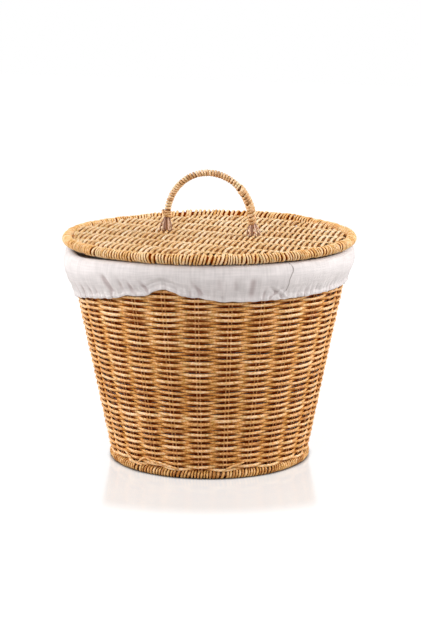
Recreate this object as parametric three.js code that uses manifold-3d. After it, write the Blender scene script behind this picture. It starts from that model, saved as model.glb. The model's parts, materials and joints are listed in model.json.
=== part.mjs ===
// A round lidded rattan basket. The wall, base and lid are woven on pairs of wire stakes between
// bound wire hoops, a cloth liner folds over the rim, and a bound arch handle is lashed to the lid.
// Millimetres, +Z up. The origin is on the floor at the centre of the foot ring, and the handle
// stands over the X axis.

import * as THREE from 'three';
import { mergeVertices } from 'three/addons/utils/BufferGeometryUtils.js';
import Module from 'manifold-3d';

// Clearance between pieces that touch
const GAP = 0.3;

// Basket body
const BODY_HEIGHT = 265.2; // floor to the top of the bound rim
const FOOT_R = 119.5; // centre line of the foot hoop
const RIM_R = 171; // centre line of the rim hoop
const HOOP_WIRE = 5; // wire of the foot and rim hoops
const BINDING = 2.7; // thickness of the binding round a hoop
const FOOT_FLAT = 0.5; // depth worn flat under the foot ring
const WEAVE = 7.8; // thickness of a woven panel
const WEAVE_BAND = 17.5; // the relief of the rows is drawn as broad strands, one to this height
const STAKE_COVER = 0.6; // weave left over a stake where a strand passes behind it

// Stakes: each is a wire bent double, so that two legs run side by side
const STAKE_WIRE = 1.5;
const STAKE_SPACING = 4; // between the centre lines of the two legs
const WALL_STAKES = 26;
const FIRST_STAKE = -2; // direction of the first wall stake, in degrees
const BASE_STAKES = 5;
const BASE_STAKE_PITCH = 44.6;

// The rim hoop dips where the lid stands clear of it: angle, depth and half width of each dip
const LEFT_DIP = 6.8;
const RIGHT_DIP = 2;
const RIM_DIPS = [
  { at: 222, depth: LEFT_DIP, width: 24 },
  { at: 358, depth: RIGHT_DIP, width: 30 },
];

// Liner
const CLOTH = 1;
const FOLD_OVER_R = 7.2; // how far the cloth stands off the rim hoop's centre line
const FOLD_OVER_TURNS = [180, 125, 72, 20]; // where it bends on its way over the rim, in degrees
const CUFF_SWELL = 4; // how far the turned-down cuff swells past the rim's binding
const CUFF_DEPTH = 44; // top of the cloth to the hem
const HEM_BAND = 6; // height of the gathered band at the hem
const ELASTIC = 1.6; // cord that gathers the hem
const CUFF_FOLDS = 16;
const FOLD_DEPTH = 2.6;
const FOLD_DRIFT = 1.2; // how unevenly the folds are spaced, in radians of one fold
// The hem hangs low where the cuff is pulled down, and is hitched up beside it
const HEM_SAG = 21;
const HEM_HITCH = 10.6;
const HEM_SHOULDER = 7.5;
const HEM_RISE = 5.5;
const HEM_DRAPES = [
  { at: 200, depth: HEM_SAG, width: 40 },
  { at: 262, depth: -HEM_RISE, width: 8 },
  { at: 275, depth: -HEM_HITCH, width: 5 },
  { at: 283, depth: -HEM_SHOULDER, width: 12 },
];
const BAG_CORNER = 8; // how far the bag's bottom corner is cut off

// Lid
const LID_OVERHANG = 3; // the lid hoop's centre line lies this far outside the rim hoop's
const LID_HOOP_WIRE = 6.4;
const LID_WEAVE_RISE = 1.5; // the woven panel lies above the hoop's centre line
const LID_STAKES = 7;
const LID_STAKE_PITCH = 44.6;
const LID_STAKE_ANGLE = -7.8; // the stakes lie askew to the handle
const LID_STRAND_ANGLE = 99.4; // and so do the strands across them

// Handle
const HANDLE_SPAN = 114; // between the centre lines of the two legs
const HANDLE_LEG = 16; // straight leg between the woven panel and the arch
const HANDLE_WIRE = 3.6;
const HANDLE_BINDING = 2.1; // thickness of the strand round the handle wire
const HANDLE_STRAND = 2.7; // its width along the handle
const HANDLE_PITCH = 3.7;
const SPLICE_BINDING = 3.1; // the thicker strand that ends the binding
const SPLICE_STRAND = 3.3;
const SPLICE_PITCH = 4.3;
const SPLICE_START = 46; // angle up the arch where the thicker strand starts
const CLINCH = 14; // length of wire bent over under the lid
const CLINCH_BEND_R = 3;
const TIE_STRAND = 2.2;
const TIE_SPREAD = 7; // how far the outer lashing strands stand from the leg
const HITCH_R = 5.6; // the slanting turn that ends the binding on the left leg
const HITCH_STRAND = 2.7;
const HITCH_ANGLE = 30;
const HITCH_OFFSET = 1.3; // how far the turn hangs outwards

// Facets: two to each wall stake, so that a stake lies behind the middle of every other one
const FACETS = 2 * WALL_STAKES;
const FACET_TURN = (2 * Math.PI) / FACETS;
const FLAT = Math.cos(Math.PI / FACETS); // distance of a facet's middle over that of its corner
const CUFF_FACETS = 4 * CUFF_FOLDS;
const DEGREE = Math.PI / 180;

// Sizes that follow from the ones above
const BOUND_R = HOOP_WIRE / 2 + GAP + BINDING;
const FOOT_Z = BOUND_R - FOOT_FLAT;
const RIM_Z = BODY_HEIGHT - BOUND_R;
const SLOPE = (RIM_R - FOOT_R) / (RIM_Z - FOOT_Z);
const LEAN = Math.atan(SLOPE);
const HALF_WEAVE = WEAVE / 2;
const WALL_HALF = HALF_WEAVE / Math.cos(LEAN); // half the wall, measured level
const WEAVE_DEPTH = HALF_WEAVE - STAKE_WIRE / 2 - GAP - STAKE_COVER; // from a strand in front to one behind
const CLOTH_TOP = RIM_Z + FOLD_OVER_R * Math.sin(FOLD_OVER_TURNS[2] * DEGREE) + CLOTH / 2;
const HEM_Z = CLOTH_TOP - CUFF_DEPTH;
const CUFF_R = RIM_R + BOUND_R + CUFF_SWELL;
const LID_R = RIM_R + LID_OVERHANG;
const LID_BOUND_R = LID_HOOP_WIRE / 2 + GAP + BINDING;
const LID_Z = CLOTH_TOP + GAP + LID_BOUND_R;
const LID_WEAVE_Z = LID_Z + LID_WEAVE_RISE;
const LID_TOP = LID_WEAVE_Z + HALF_WEAVE;
const BASE_R = wallMid(FOOT_Z + BOUND_R) - WALL_HALF - GAP;
const BASE_Z = baseSeat() + HALF_WEAVE;
const SPRING_Z = LID_TOP + HANDLE_LEG; // where the handle's arch springs from its legs
const ARCH_R = HANDLE_SPAN / 2;

const wasm = await Module();
wasm.setup();

const COLOURS = {
  strand: { color: 0xcf9a5c, roughness: 0.62, metalness: 0 },
  binding: { color: 0xe0b070, roughness: 0.58, metalness: 0 },
  lidStrand: { color: 0xdcae74, roughness: 0.6, metalness: 0 },
  wire: { color: 0xc9b08a, roughness: 0.5, metalness: 0.2 },
  hoop: { color: 0x8a7a68, roughness: 0.45, metalness: 0.8 },
  cloth: { color: 0xe9e4df, roughness: 0.9, metalness: 0 },
  elastic: { color: 0xf2f0ec, roughness: 0.8, metalness: 0 },
  lashing: { color: 0xb98f78, roughness: 0.7, metalness: 0 },
};

function piece(name, geometry, finish) {
  const mesh = new THREE.Mesh(geometry, new THREE.MeshStandardMaterial(COLOURS[finish]));
  mesh.name = name;
  return mesh;
}

// Radius of the wall's middle surface at a height
function wallMid(z) {
  return FOOT_R + (z - FOOT_Z) * SLOPE;
}

// The base rests on the inner shoulder of the foot ring's binding
function baseSeat() {
  const reach = BOUND_R + GAP;
  const inset = FOOT_R - BASE_R;
  return FOOT_Z + Math.sqrt(Math.max(reach * reach - inset * inset, 0));
}

// Smooth hump of height 1 round an angle in degrees, seen from a direction in radians
function hump(direction, at, width) {
  const turn = direction / DEGREE - at;
  const away = ((((turn + 180) % 360) + 360) % 360) - 180;
  return Math.exp(-((away / width) ** 2));
}

function sumOf(humps, direction) {
  return humps.reduce((total, h) => total + h.depth * hump(direction, h.at, h.width), 0);
}

const dipAt = (direction) => sumOf(RIM_DIPS, direction);
const hemAt = (direction) => HEM_Z - sumOf(HEM_DRAPES, direction);

// Point at a direction round the Z axis
function around(direction, r, z) {
  return new THREE.Vector3(r * Math.cos(direction), r * Math.sin(direction), z);
}

// Joins closed sections of equal length into one closed solid. A loop joins its last section to
// its first, and anything else has flat ends.
function skin(sections, isLoop) {
  const sides = sections[0].length;
  const points = sections.flat();
  const faces = [];
  const spans = isLoop ? sections.length : sections.length - 1;
  for (let i = 0; i < spans; i++) {
    const next = (i + 1) % sections.length;
    for (let j = 0; j < sides; j++) {
      const k = (j + 1) % sides;
      faces.push(i * sides + j, next * sides + j, next * sides + k);
      faces.push(i * sides + j, next * sides + k, i * sides + k);
    }
  }
  if (!isLoop) {
    const last = (sections.length - 1) * sides;
    for (let j = 1; j < sides - 1; j++) {
      faces.push(0, j, j + 1);
      faces.push(last, last + j + 1, last + j);
    }
  }
  const geometry = new THREE.BufferGeometry();
  geometry.setFromPoints(points);
  geometry.setIndex(faces);
  return outward(geometry);
}

// Turns the faces round if they point into the solid
function outward(geometry) {
  const at = geometry.attributes.position;
  const index = geometry.index.array;
  const [a, b, c] = [new THREE.Vector3(), new THREE.Vector3(), new THREE.Vector3()];
  let volume = 0;
  for (let i = 0; i < index.length; i += 3) {
    a.fromBufferAttribute(at, index[i]);
    b.fromBufferAttribute(at, index[i + 1]);
    c.fromBufferAttribute(at, index[i + 2]);
    volume += a.dot(b.cross(c));
  }
  if (volume < 0) {
    geometry.setIndex(Array.from(index).reverse());
  }
  geometry.computeVertexNormals();
  return geometry;
}

// A ring with the same facets as the wall. sectionAt gives its [radius, height] pairs at a
// direction.
function ring(sectionAt, facets = FACETS) {
  const sections = [];
  for (let i = 0; i < facets; i++) {
    const direction = FIRST_STAKE * DEGREE + ((i - 0.5) * 2 * Math.PI) / facets;
    sections.push(sectionAt(direction).map(([r, z]) => around(direction, r, z)));
  }
  return skin(sections, true);
}

// Round section of a hoop wire
function wireSection(r, z, diameter, sides = 5) {
  const section = [];
  for (let i = 0; i < sides; i++) {
    const turn = ((i + 0.5) * 2 * Math.PI) / sides;
    section.push([r + (diameter / 2) * Math.cos(turn), z + (diameter / 2) * Math.sin(turn)]);
  }
  return section;
}

// Section of the binding round a hoop: a thick C whose mouth lets the stakes through. The mouth
// faces a direction in the section, off to one side by an offset.
function bindingSection(r, z, wire, mouth, offset = 0) {
  const outerSteps = 7;
  const innerSteps = 4;
  const outer = wire / 2 + GAP + BINDING;
  const inner = (wire / 2 + GAP) / Math.cos(Math.PI / innerSteps);
  const half = STAKE_WIRE / 2 + GAP;
  const arc = (radius, steps) => {
    const from = Math.asin((offset + half) / radius);
    const to = 2 * Math.PI + Math.asin((offset - half) / radius);
    const points = [];
    for (let i = 0; i <= steps; i++) {
      const turn = mouth + from + ((to - from) * i) / steps;
      points.push([r + radius * Math.cos(turn), z + radius * Math.sin(turn)]);
    }
    return points;
  };
  return [...arc(outer, outerSteps), ...arc(inner, innerSteps).reverse()];
}

// A wire that follows stations, one step of the sweep to each
class Route extends THREE.Curve {
  constructor(stations) {
    super();
    this.stations = stations;
  }

  getPoint(t) {
    const spans = this.stations.length - 1;
    const i = Math.min(Math.floor(t * spans + 1e-9), spans - 1);
    return this.stations[i].clone().lerp(this.stations[i + 1], t * spans - i);
  }

  getPointAt(u) {
    return this.getPoint(u);
  }

  getTangentAt(u) {
    const spans = this.stations.length - 1;
    const i = Math.round(u * spans);
    const before = this.stations[Math.max(i - 1, 0)];
    const after = this.stations[Math.min(i + 1, spans)];
    return after.clone().sub(before).normalize();
  }
}

function wire(stations, diameter, sides) {
  const section = new THREE.Shape();
  for (let i = 0; i < sides; i++) {
    const turn = (i * 2 * Math.PI) / sides;
    const [x, y] = [(diameter / 2) * Math.cos(turn), (diameter / 2) * Math.sin(turn)];
    if (i === 0) section.moveTo(x, y);
    else section.lineTo(x, y);
  }
  section.closePath();
  return new THREE.ExtrudeGeometry(section, {
    steps: stations.length - 1,
    extrudePath: new Route(stations),
    curveSegments: 1,
  });
}

// A stake bent double, standing along +Z: the bend is at the bottom and the two legs are level
function hairpin(length) {
  const half = STAKE_SPACING / 2;
  const stations = [new THREE.Vector3(-half, 0, length)];
  for (let i = 0; i <= 3; i++) {
    const turn = Math.PI + (i * Math.PI) / 3;
    stations.push(new THREE.Vector3(half * Math.cos(turn), 0, half + half * Math.sin(turn)));
  }
  stations.push(new THREE.Vector3(half, 0, length));
  return wire(stations, STAKE_WIRE, 5);
}

// A closed mesh as a solid that can be joined or cut
function solid(geometry) {
  let merged = geometry.clone();
  merged.deleteAttribute('normal');
  merged.deleteAttribute('uv');
  merged = mergeVertices(merged, 1e-4);
  return new wasm.Manifold(
    new wasm.Mesh({
      numProp: 3,
      vertProperties: new Float32Array(merged.attributes.position.array),
      triVerts: new Uint32Array(merged.index.array),
    }),
  );
}

function geometryOf(manifold) {
  const mesh = manifold.getMesh();
  const geometry = new THREE.BufferGeometry();
  geometry.setAttribute('position', new THREE.BufferAttribute(mesh.vertProperties, 3));
  geometry.setIndex(new THREE.BufferAttribute(mesh.triVerts, 1));
  geometry.computeVertexNormals();
  return geometry;
}

function cut(geometry, tools) {
  return geometryOf(tools.reduce((left, tool) => left.subtract(solid(tool)), solid(geometry)));
}

// The channel that a stake's two legs share, along +Z
function channel(length) {
  const width = STAKE_SPACING + STAKE_WIRE + 2 * GAP;
  const slot = new THREE.BoxGeometry(width, STAKE_WIRE + 2 * GAP, length);
  slot.translate(0, 0, length / 2);
  return slot;
}

// Places something made along +Z on the wall's middle surface, behind the middle of a facet
function onWall(index) {
  const direction = FIRST_STAKE * DEGREE + 2 * index * FACET_TURN;
  const spin = new THREE.Matrix4().makeRotationZ(direction + Math.PI / 2);
  const set = new THREE.Matrix4().makeTranslation(0, -FOOT_R * FLAT, FOOT_Z);
  const lean = new THREE.Matrix4().makeRotationX(Math.atan(SLOPE * FLAT));
  return { direction, matrix: spin.multiply(set).multiply(lean) };
}

// Height of the rim hoop's centre line and its radius at a direction
function rimAt(direction) {
  const z = RIM_Z - dipAt(direction);
  return { r: wallMid(z), z };
}

function makeFoot() {
  const hoop = ring(() => wireSection(FOOT_R, FOOT_Z, HOOP_WIRE));
  const binding = ring(() => bindingSection(FOOT_R, FOOT_Z, HOOP_WIRE, Math.PI / 2 - LEAN));
  const floor = new THREE.BoxGeometry(3 * FOOT_R, 3 * FOOT_R, BOUND_R);
  floor.translate(0, 0, -BOUND_R / 2);
  return [piece('foot_hoop', hoop, 'hoop'), piece('foot_binding', cut(binding, [floor]), 'binding')];
}

function makeRim() {
  const hoop = ring((direction) => {
    const rim = rimAt(direction);
    return wireSection(rim.r, rim.z, HOOP_WIRE);
  });
  const binding = ring((direction) => {
    const rim = rimAt(direction);
    return bindingSection(rim.r, rim.z, HOOP_WIRE, -Math.PI / 2 - LEAN);
  });
  return [piece('rim_hoop', hoop, 'hoop'), piece('rim_binding', binding, 'binding')];
}

// Whether the strand of a band passes behind a stake
function isBehind(band, stake) {
  return (band + stake) % 2 !== 0;
}

function makeWall() {
  const low = FOOT_Z + BOUND_R + GAP;
  const bands = Math.round((RIM_Z - BOUND_R - GAP - low) / WEAVE_BAND);
  const shell = ring((direction) => {
    const high = rimAt(direction).z - BOUND_R - GAP;
    const stake = Math.round((direction - FIRST_STAKE * DEGREE) / (2 * FACET_TURN));
    const outer = [];
    for (let band = 0; band <= bands; band++) {
      const z = low + ((high - low) * band) / bands;
      const sink = isBehind(band, stake) ? WEAVE_DEPTH / Math.cos(LEAN) : 0;
      outer.push([wallMid(z) + WALL_HALF - sink, z]);
    }
    return [[wallMid(low) - WALL_HALF, low], ...outer, [wallMid(high) - WALL_HALF, high]];
  });
  const start = HOOP_WIRE / 2 + GAP;
  const channels = [];
  const stakes = [];
  for (let i = 0; i < WALL_STAKES; i++) {
    const { direction, matrix } = onWall(i);
    const rim = rimAt(direction);
    const reach = Math.hypot((rim.r - FOOT_R) * FLAT, rim.z - FOOT_Z);
    channels.push(channel(reach).applyMatrix4(matrix));
    const length = reach - 2 * start - STAKE_WIRE / 2;
    const stake = piece(`wall_stake_${String(i + 1).padStart(2, '0')}`, hairpin(length), 'wire');
    stake.applyMatrix4(matrix);
    stake.translateZ(start + STAKE_WIRE / 2);
    stakes.push(stake);
  }
  return [piece('wall_weave', cut(shell, channels), 'strand'), ...stakes];
}

// A plate whose top has the relief of broad strands, each over one stake and under the next. It
// reaches past the panel on every side but the top.
function wovenPlate(panel) {
  const stakeWay = new THREE.Vector2(1, 0).rotateAround(new THREE.Vector2(), panel.turn * DEGREE);
  const strandWay = new THREE.Vector2(1, 0).rotateAround(new THREE.Vector2(), panel.strands * DEGREE);
  const skew = Math.abs(stakeWay.cross(strandWay));
  const bands = 2 * Math.ceil(panel.radius / WEAVE_BAND / skew);
  const outside = Math.ceil(panel.radius / panel.pitch);
  const sections = [];
  for (let stake = -outside; stake <= outside; stake++) {
    for (const edge of [-0.25, 0.25]) {
      const at = strandWay.clone().multiplyScalar(((stake + edge) * panel.pitch) / skew);
      const point = (band, z) => {
        const along = ((band - bands / 2) * WEAVE_BAND) / skew;
        return new THREE.Vector3(at.x + stakeWay.x * along, at.y + stakeWay.y * along, z);
      };
      const section = [point(0, panel.z - WEAVE)];
      section.push(point(bands, panel.z - WEAVE));
      for (let band = bands; band >= 0; band--) {
        const sink = isBehind(band, stake) ? WEAVE_DEPTH : 0;
        section.push(point(band, panel.z + HALF_WEAVE - sink));
      }
      sections.push(section);
    }
  }
  return skin(sections, false);
}

// A round woven panel on parallel stakes. Its stakes run to a reach from the centre.
function makePanel(name, panel, holes = []) {
  const isPlain = panel.strands === undefined;
  const height = isPlain ? WEAVE : 2 * WEAVE;
  let disc = new THREE.CylinderGeometry(panel.radius, panel.radius, height, FACETS);
  disc.rotateX(Math.PI / 2);
  disc.rotateZ(FIRST_STAKE * DEGREE + FACET_TURN / 2);
  disc.translate(0, 0, panel.z - HALF_WEAVE + height / 2);
  if (!isPlain) disc = geometryOf(solid(disc).intersect(solid(wovenPlate(panel))));
  const lay = new THREE.Matrix4().makeRotationY(Math.PI / 2);
  lay.multiply(new THREE.Matrix4().makeRotationZ(Math.PI / 2));
  // Lays something made along +Z flat in the panel, along its stakes
  const layAt = (x, across) =>
    new THREE.Matrix4()
      .makeRotationZ(panel.turn * DEGREE)
      .multiply(new THREE.Matrix4().makeTranslation(x, across, panel.z))
      .multiply(lay);
  const channels = [];
  const stakes = [];
  for (let i = 0; i < panel.stakes; i++) {
    const across = (i - (panel.stakes - 1) / 2) * panel.pitch;
    const edge = Math.abs(across) + (STAKE_SPACING + STAKE_WIRE) / 2;
    const half = Math.sqrt(panel.reach ** 2 - edge ** 2);
    channels.push(channel(2 * panel.radius).applyMatrix4(layAt(-panel.radius, across)));
    const stake = piece(`${name}_stake_${i + 1}`, hairpin(2 * half - STAKE_WIRE / 2), 'wire');
    stake.applyMatrix4(layAt(STAKE_WIRE / 2 - half, across));
    stakes.push(stake);
  }
  return [piece(`${name}_weave`, cut(disc, [...channels, ...holes]), panel.finish), ...stakes];
}

function makeBase() {
  return makePanel('base', {
    radius: BASE_R,
    z: BASE_Z,
    stakes: BASE_STAKES,
    pitch: BASE_STAKE_PITCH,
    turn: 0,
    reach: BASE_R - GAP,
    finish: 'strand',
  });
}

function makeLid() {
  const rise = LID_WEAVE_RISE + STAKE_WIRE / 2;
  const hoopEdge = Math.sqrt((LID_HOOP_WIRE / 2) ** 2 - Math.max(rise - STAKE_WIRE, 0) ** 2);
  const holeR = HANDLE_WIRE / 2 + 1.5 * GAP;
  const holes = [-1, 1].map((side) => {
    const hole = new THREE.CylinderGeometry(holeR, holeR, 2 * WEAVE, 12);
    hole.rotateX(Math.PI / 2);
    hole.translate(side * ARCH_R, 0, LID_WEAVE_Z);
    return hole;
  });
  const hoop = ring(() => wireSection(LID_R, LID_Z, LID_HOOP_WIRE));
  const binding = ring(() => bindingSection(LID_R, LID_Z, LID_HOOP_WIRE, Math.PI, -LID_WEAVE_RISE));
  const panel = makePanel(
    'lid',
    {
      radius: LID_R - LID_BOUND_R - GAP,
      z: LID_WEAVE_Z,
      stakes: LID_STAKES,
      pitch: LID_STAKE_PITCH,
      turn: LID_STAKE_ANGLE,
      strands: LID_STRAND_ANGLE,
      reach: LID_R * FLAT - hoopEdge - GAP,
      finish: 'lidStrand',
    },
    holes,
  );
  return [piece('lid_hoop', hoop, 'hoop'), piece('lid_binding', binding, 'binding'), ...panel];
}

// The bag hangs inside the wall, from the rim to the base
function makeBag() {
  const floor = BASE_Z + HALF_WEAVE + GAP;
  const wallInner = (z) => wallMid(z) - WALL_HALF - GAP;
  const shoulder = RIM_Z - 3 * BOUND_R;
  const top = RIM_Z - GAP;
  const topR = RIM_R - FOLD_OVER_R;
  const outer = [
    [0, floor],
    [wallInner(floor) - BAG_CORNER, floor],
    [wallInner(floor + BAG_CORNER), floor + BAG_CORNER],
    [wallInner(shoulder), shoulder],
    [topR + CLOTH / 2, top],
  ];
  const inner = [
    [topR - CLOTH / 2, top],
    [wallInner(shoulder) - CLOTH, shoulder],
    [wallInner(floor + BAG_CORNER) - CLOTH, floor + BAG_CORNER + CLOTH / 2],
    [wallInner(floor) - BAG_CORNER - CLOTH / 2, floor + CLOTH],
    [0, floor + CLOTH],
  ];
  const profile = [...outer, ...inner].map(([r, z]) => new THREE.Vector2(r, z));
  const bag = new THREE.LatheGeometry(profile, FACETS);
  bag.rotateX(Math.PI / 2);
  bag.rotateZ(FIRST_STAKE * DEGREE + FACET_TURN / 2);
  const at = bag.attributes.position;
  for (let i = 0; i < at.count; i++) {
    const p = new THREE.Vector3().fromBufferAttribute(at, i);
    const share = THREE.MathUtils.smoothstep(p.z, shoulder - 1, top - 1);
    const dip = share * dipAt(Math.atan2(p.y, p.x));
    const r = Math.hypot(p.x, p.y);
    const scale = r > 0 ? (r - dip * SLOPE) / r : 1;
    at.setXYZ(i, p.x * scale, p.y * scale, p.z - dip);
  }
  return piece('liner_bag', bag, 'cloth');
}

// The cuff is the liner's turned-down edge: it goes over the rim, swells, and is gathered at the
// hem. Each station is a point of the cloth's middle with the share of the folds it takes.
function cuffStations(direction) {
  const rim = rimAt(direction);
  const hem = hemAt(direction);
  const hemR = (z) => wallMid(z) + WALL_HALF + ELASTIC + 2 * GAP + CLOTH / 2;
  const over = (turn) => [
    rim.r + FOLD_OVER_R * Math.cos(turn * DEGREE),
    rim.z + FOLD_OVER_R * Math.sin(turn * DEGREE),
  ];
  const hang = (share) => rim.z + (hem + HEM_BAND - rim.z) * share;
  return [
    ...FOLD_OVER_TURNS.map((turn) => ({ at: over(turn), fold: 0 })),
    { at: [CUFF_R, hang(0.4)], fold: 0 },
    { at: [(CUFF_R * 2 + hemR(hang(0.8))) / 3 - FOLD_DEPTH, hang(0.8)], fold: 1 },
    { at: [hemR(hem + HEM_BAND), hem + HEM_BAND], fold: 0.35 },
    { at: [hemR(hem), hem], fold: 0.5 },
  ];
}

function makeCuff() {
  const sectionAt = (direction) => {
    const stations = cuffStations(direction);
    const phase = CUFF_FOLDS * direction + FOLD_DRIFT * Math.sin(3 * direction);
    const wave = 0.5 + 0.5 * Math.cos(phase);
    const middle = stations.map(({ at, fold }) => [at[0] + fold * wave * FOLD_DEPTH, at[1]]);
    const side = (sign) =>
      middle.map(([r, z], i) => {
        const before = middle[Math.max(i - 1, 0)];
        const after = middle[Math.min(i + 1, middle.length - 1)];
        const length = Math.hypot(after[0] - before[0], after[1] - before[1]);
        const normal = [-(after[1] - before[1]) / length, (after[0] - before[0]) / length];
        return [r + (sign * normal[0] * CLOTH) / 2, z + (sign * normal[1] * CLOTH) / 2];
      });
    return [...side(1), ...side(-1).reverse()];
  };
  return piece('liner_cuff', ring(sectionAt, CUFF_FACETS), 'cloth');
}

function makeElastic() {
  const cord = ring((direction) => {
    const z = hemAt(direction) + HEM_BAND / 2;
    return wireSection(wallMid(z) + WALL_HALF + GAP + ELASTIC / 2, z, ELASTIC);
  });
  return piece('hem_elastic', cord, 'elastic');
}

// The handle's centre line at an angle up the arch, with its outward direction there
function archAt(angle) {
  const out = new THREE.Vector3(Math.cos(angle), 0, Math.sin(angle));
  return { centre: out.clone().multiplyScalar(ARCH_R).add(new THREE.Vector3(0, 0, SPRING_Z)), out };
}

function makeHandleWire() {
  const under = LID_WEAVE_Z - HALF_WEAVE - GAP - HANDLE_WIRE / 2;
  const leg = [new THREE.Vector3(ARCH_R - CLINCH, 0, under)];
  for (let i = 0; i <= 3; i++) {
    const turn = -Math.PI / 2 + (i * Math.PI) / 6;
    leg.push(
      new THREE.Vector3(
        ARCH_R - CLINCH_BEND_R + CLINCH_BEND_R * Math.cos(turn),
        0,
        under + CLINCH_BEND_R + CLINCH_BEND_R * Math.sin(turn),
      ),
    );
  }
  const arch = [];
  for (let i = 0; i <= 18; i++) arch.push(archAt((i * Math.PI) / 18).centre);
  const mirrored = leg.map((p) => new THREE.Vector3(-p.x, p.y, p.z)).reverse();
  return piece('handle_wire', wire([...leg, ...arch, ...mirrored], HANDLE_WIRE, 8), 'hoop');
}

// Least distance between the surface points of one turn and those of the next turns
function leastGap(sections, stepsPerTurn) {
  let least = Infinity;
  for (let i = 0; i < sections.length; i++) {
    const next = sections.slice(i + Math.floor(0.6 * stepsPerTurn), i + 2 * stepsPerTurn);
    for (const other of next) {
      for (const a of sections[i]) {
        for (const b of other) least = Math.min(least, a.distanceTo(b));
      }
    }
  }
  return least;
}

// A strand wound round the handle wire between two angles up the arch, one unbroken tube
function winding(name, from, to, strand) {
  const stepsPerTurn = 8;
  const sides = 5;
  const radius = (HANDLE_WIRE / 2 + GAP + strand.thickness / 2) / Math.cos(Math.PI / stepsPerTurn);
  const turns = Math.floor((Math.abs(to - from) * ARCH_R) / strand.pitch);
  const steps = turns * stepsPerTurn;
  const side = new THREE.Vector3(0, 1, 0);
  const sections = [];
  for (let i = 0; i <= steps; i++) {
    const { centre, out } = archAt(from + ((to - from) * i) / steps);
    const along = out.clone().cross(side);
    const turn = (i * 2 * Math.PI) / stepsPerTurn;
    const radial = out.clone().multiplyScalar(Math.cos(turn)).addScaledVector(side, Math.sin(turn));
    const tangent = out.clone().multiplyScalar(-Math.sin(turn)).addScaledVector(side, Math.cos(turn));
    const travel = (Math.sign(to - from) * strand.pitch) / (2 * Math.PI);
    const course = tangent.multiplyScalar(radius).addScaledVector(along, -travel).normalize();
    const width = course.clone().cross(radial).normalize();
    const section = [];
    for (let j = 0; j < sides; j++) {
      const at = (j * 2 * Math.PI) / sides;
      section.push(
        centre
          .clone()
          .addScaledVector(radial, radius + (strand.thickness / 2) * Math.cos(at))
          .addScaledVector(width, (strand.width / 2) * Math.sin(at)),
      );
    }
    sections.push(section);
  }
  console.log(`${name}: ${turns} turns, least gap ${leastGap(sections, stepsPerTurn).toFixed(2)} mm`);
  return piece(name, skin(sections, false), 'binding');
}

function makeHandleBinding() {
  const strand = { thickness: HANDLE_BINDING, width: HANDLE_STRAND, pitch: HANDLE_PITCH };
  const thick = { thickness: SPLICE_BINDING, width: SPLICE_STRAND, pitch: SPLICE_PITCH };
  const splice = SPLICE_START * DEGREE;
  const rest = HANDLE_STRAND / ARCH_R;
  const middle = (Math.PI + splice) / 2;
  const hitch = (2 * HITCH_R * Math.sin(HITCH_ANGLE * DEGREE) + HITCH_STRAND) / ARCH_R;
  return [
    makeHitch(Math.PI - hitch / 2),
    winding('handle_binding_left', Math.PI - hitch - rest / 2, middle + rest, strand),
    winding('handle_binding_top', middle - rest, splice + rest, strand),
    winding('handle_splice', splice - rest, 0, thick),
  ];
}

// One slanting turn of the strand's end, which hangs outwards from the handle at an angle up it
function makeHitch(angle) {
  const { centre, out } = archAt(angle);
  const along = new THREE.Vector3(0, 1, 0).cross(out);
  const slant = HITCH_ANGLE * DEGREE;
  const across = out.clone().multiplyScalar(Math.cos(slant)).addScaledVector(along, Math.sin(slant));
  const normal = across.clone().cross(new THREE.Vector3(0, 1, 0));
  const middle = centre.clone().addScaledVector(out, HITCH_OFFSET);
  const sections = [];
  for (let i = 0; i < 10; i++) {
    const turn = (i * Math.PI) / 5;
    const radial = across.clone().multiplyScalar(Math.cos(turn));
    radial.y += Math.sin(turn);
    const section = [];
    for (let j = 0; j < 5; j++) {
      const at = (j * 2 * Math.PI) / 5;
      section.push(
        middle
          .clone()
          .addScaledVector(radial, HITCH_R + (HITCH_STRAND / 2) * Math.cos(at))
          .addScaledVector(normal, (HITCH_STRAND / 2) * Math.sin(at)),
      );
    }
    sections.push(section);
  }
  return piece('handle_hitch', skin(sections, true), 'binding');
}

// Strands that fan out from a collar round the leg and go down to the woven panel
function makeLashing(name, side) {
  const top = SPRING_Z - SPLICE_BINDING;
  const low = LID_TOP + GAP;
  const collarTurn = new THREE.LatheGeometry(
    [
      [HANDLE_WIRE / 2 + GAP, top - TIE_STRAND],
      [HANDLE_WIRE / 2 + GAP + TIE_STRAND, top - TIE_STRAND],
      [HANDLE_WIRE / 2 + GAP + TIE_STRAND, top],
      [HANDLE_WIRE / 2 + GAP, top],
      [HANDLE_WIRE / 2 + GAP, top - TIE_STRAND],
    ].map(([r, z]) => new THREE.Vector2(r, z)),
    12,
  );
  collarTurn.rotateX(Math.PI / 2);
  let lashing = solid(collarTurn);
  const start = HANDLE_WIRE / 2 + GAP + TIE_STRAND / 2;
  for (const out of [-1, -0.45, 0.45, 1]) {
    const forward = Math.abs(out) === 1 ? 1 : -1;
    const hold = top - TIE_STRAND / 2;
    const from = new THREE.Vector3(start * Math.sign(out) * 0.8, start * forward * 0.6, hold);
    const to = new THREE.Vector3(TIE_SPREAD * out, start * forward * 1.2, low);
    const middle = from.clone().lerp(to, 0.5).add(new THREE.Vector3(out * TIE_STRAND * 0.6, 0, 0));
    const curve = new THREE.QuadraticBezierCurve3(from, middle, to);
    const stations = [...curve.getPoints(4)];
    stations[4].z = low + TIE_STRAND / 4;
    lashing = lashing.add(solid(wire(stations, TIE_STRAND, 6)));
  }
  const geometry = geometryOf(lashing);
  geometry.translate(side * ARCH_R, 0, 0);
  return piece(name, geometry, 'lashing');
}

const basket = new THREE.Group();
basket.add(...makeFoot(), ...makeRim(), ...makeWall(), ...makeBase());
basket.add(makeBag(), makeCuff(), makeElastic());

const lid = new THREE.Group();
lid.add(...makeLid(), makeHandleWire(), ...makeHandleBinding());
lid.add(makeLashing('lashing_left', -1), makeLashing('lashing_right', 1));

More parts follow.
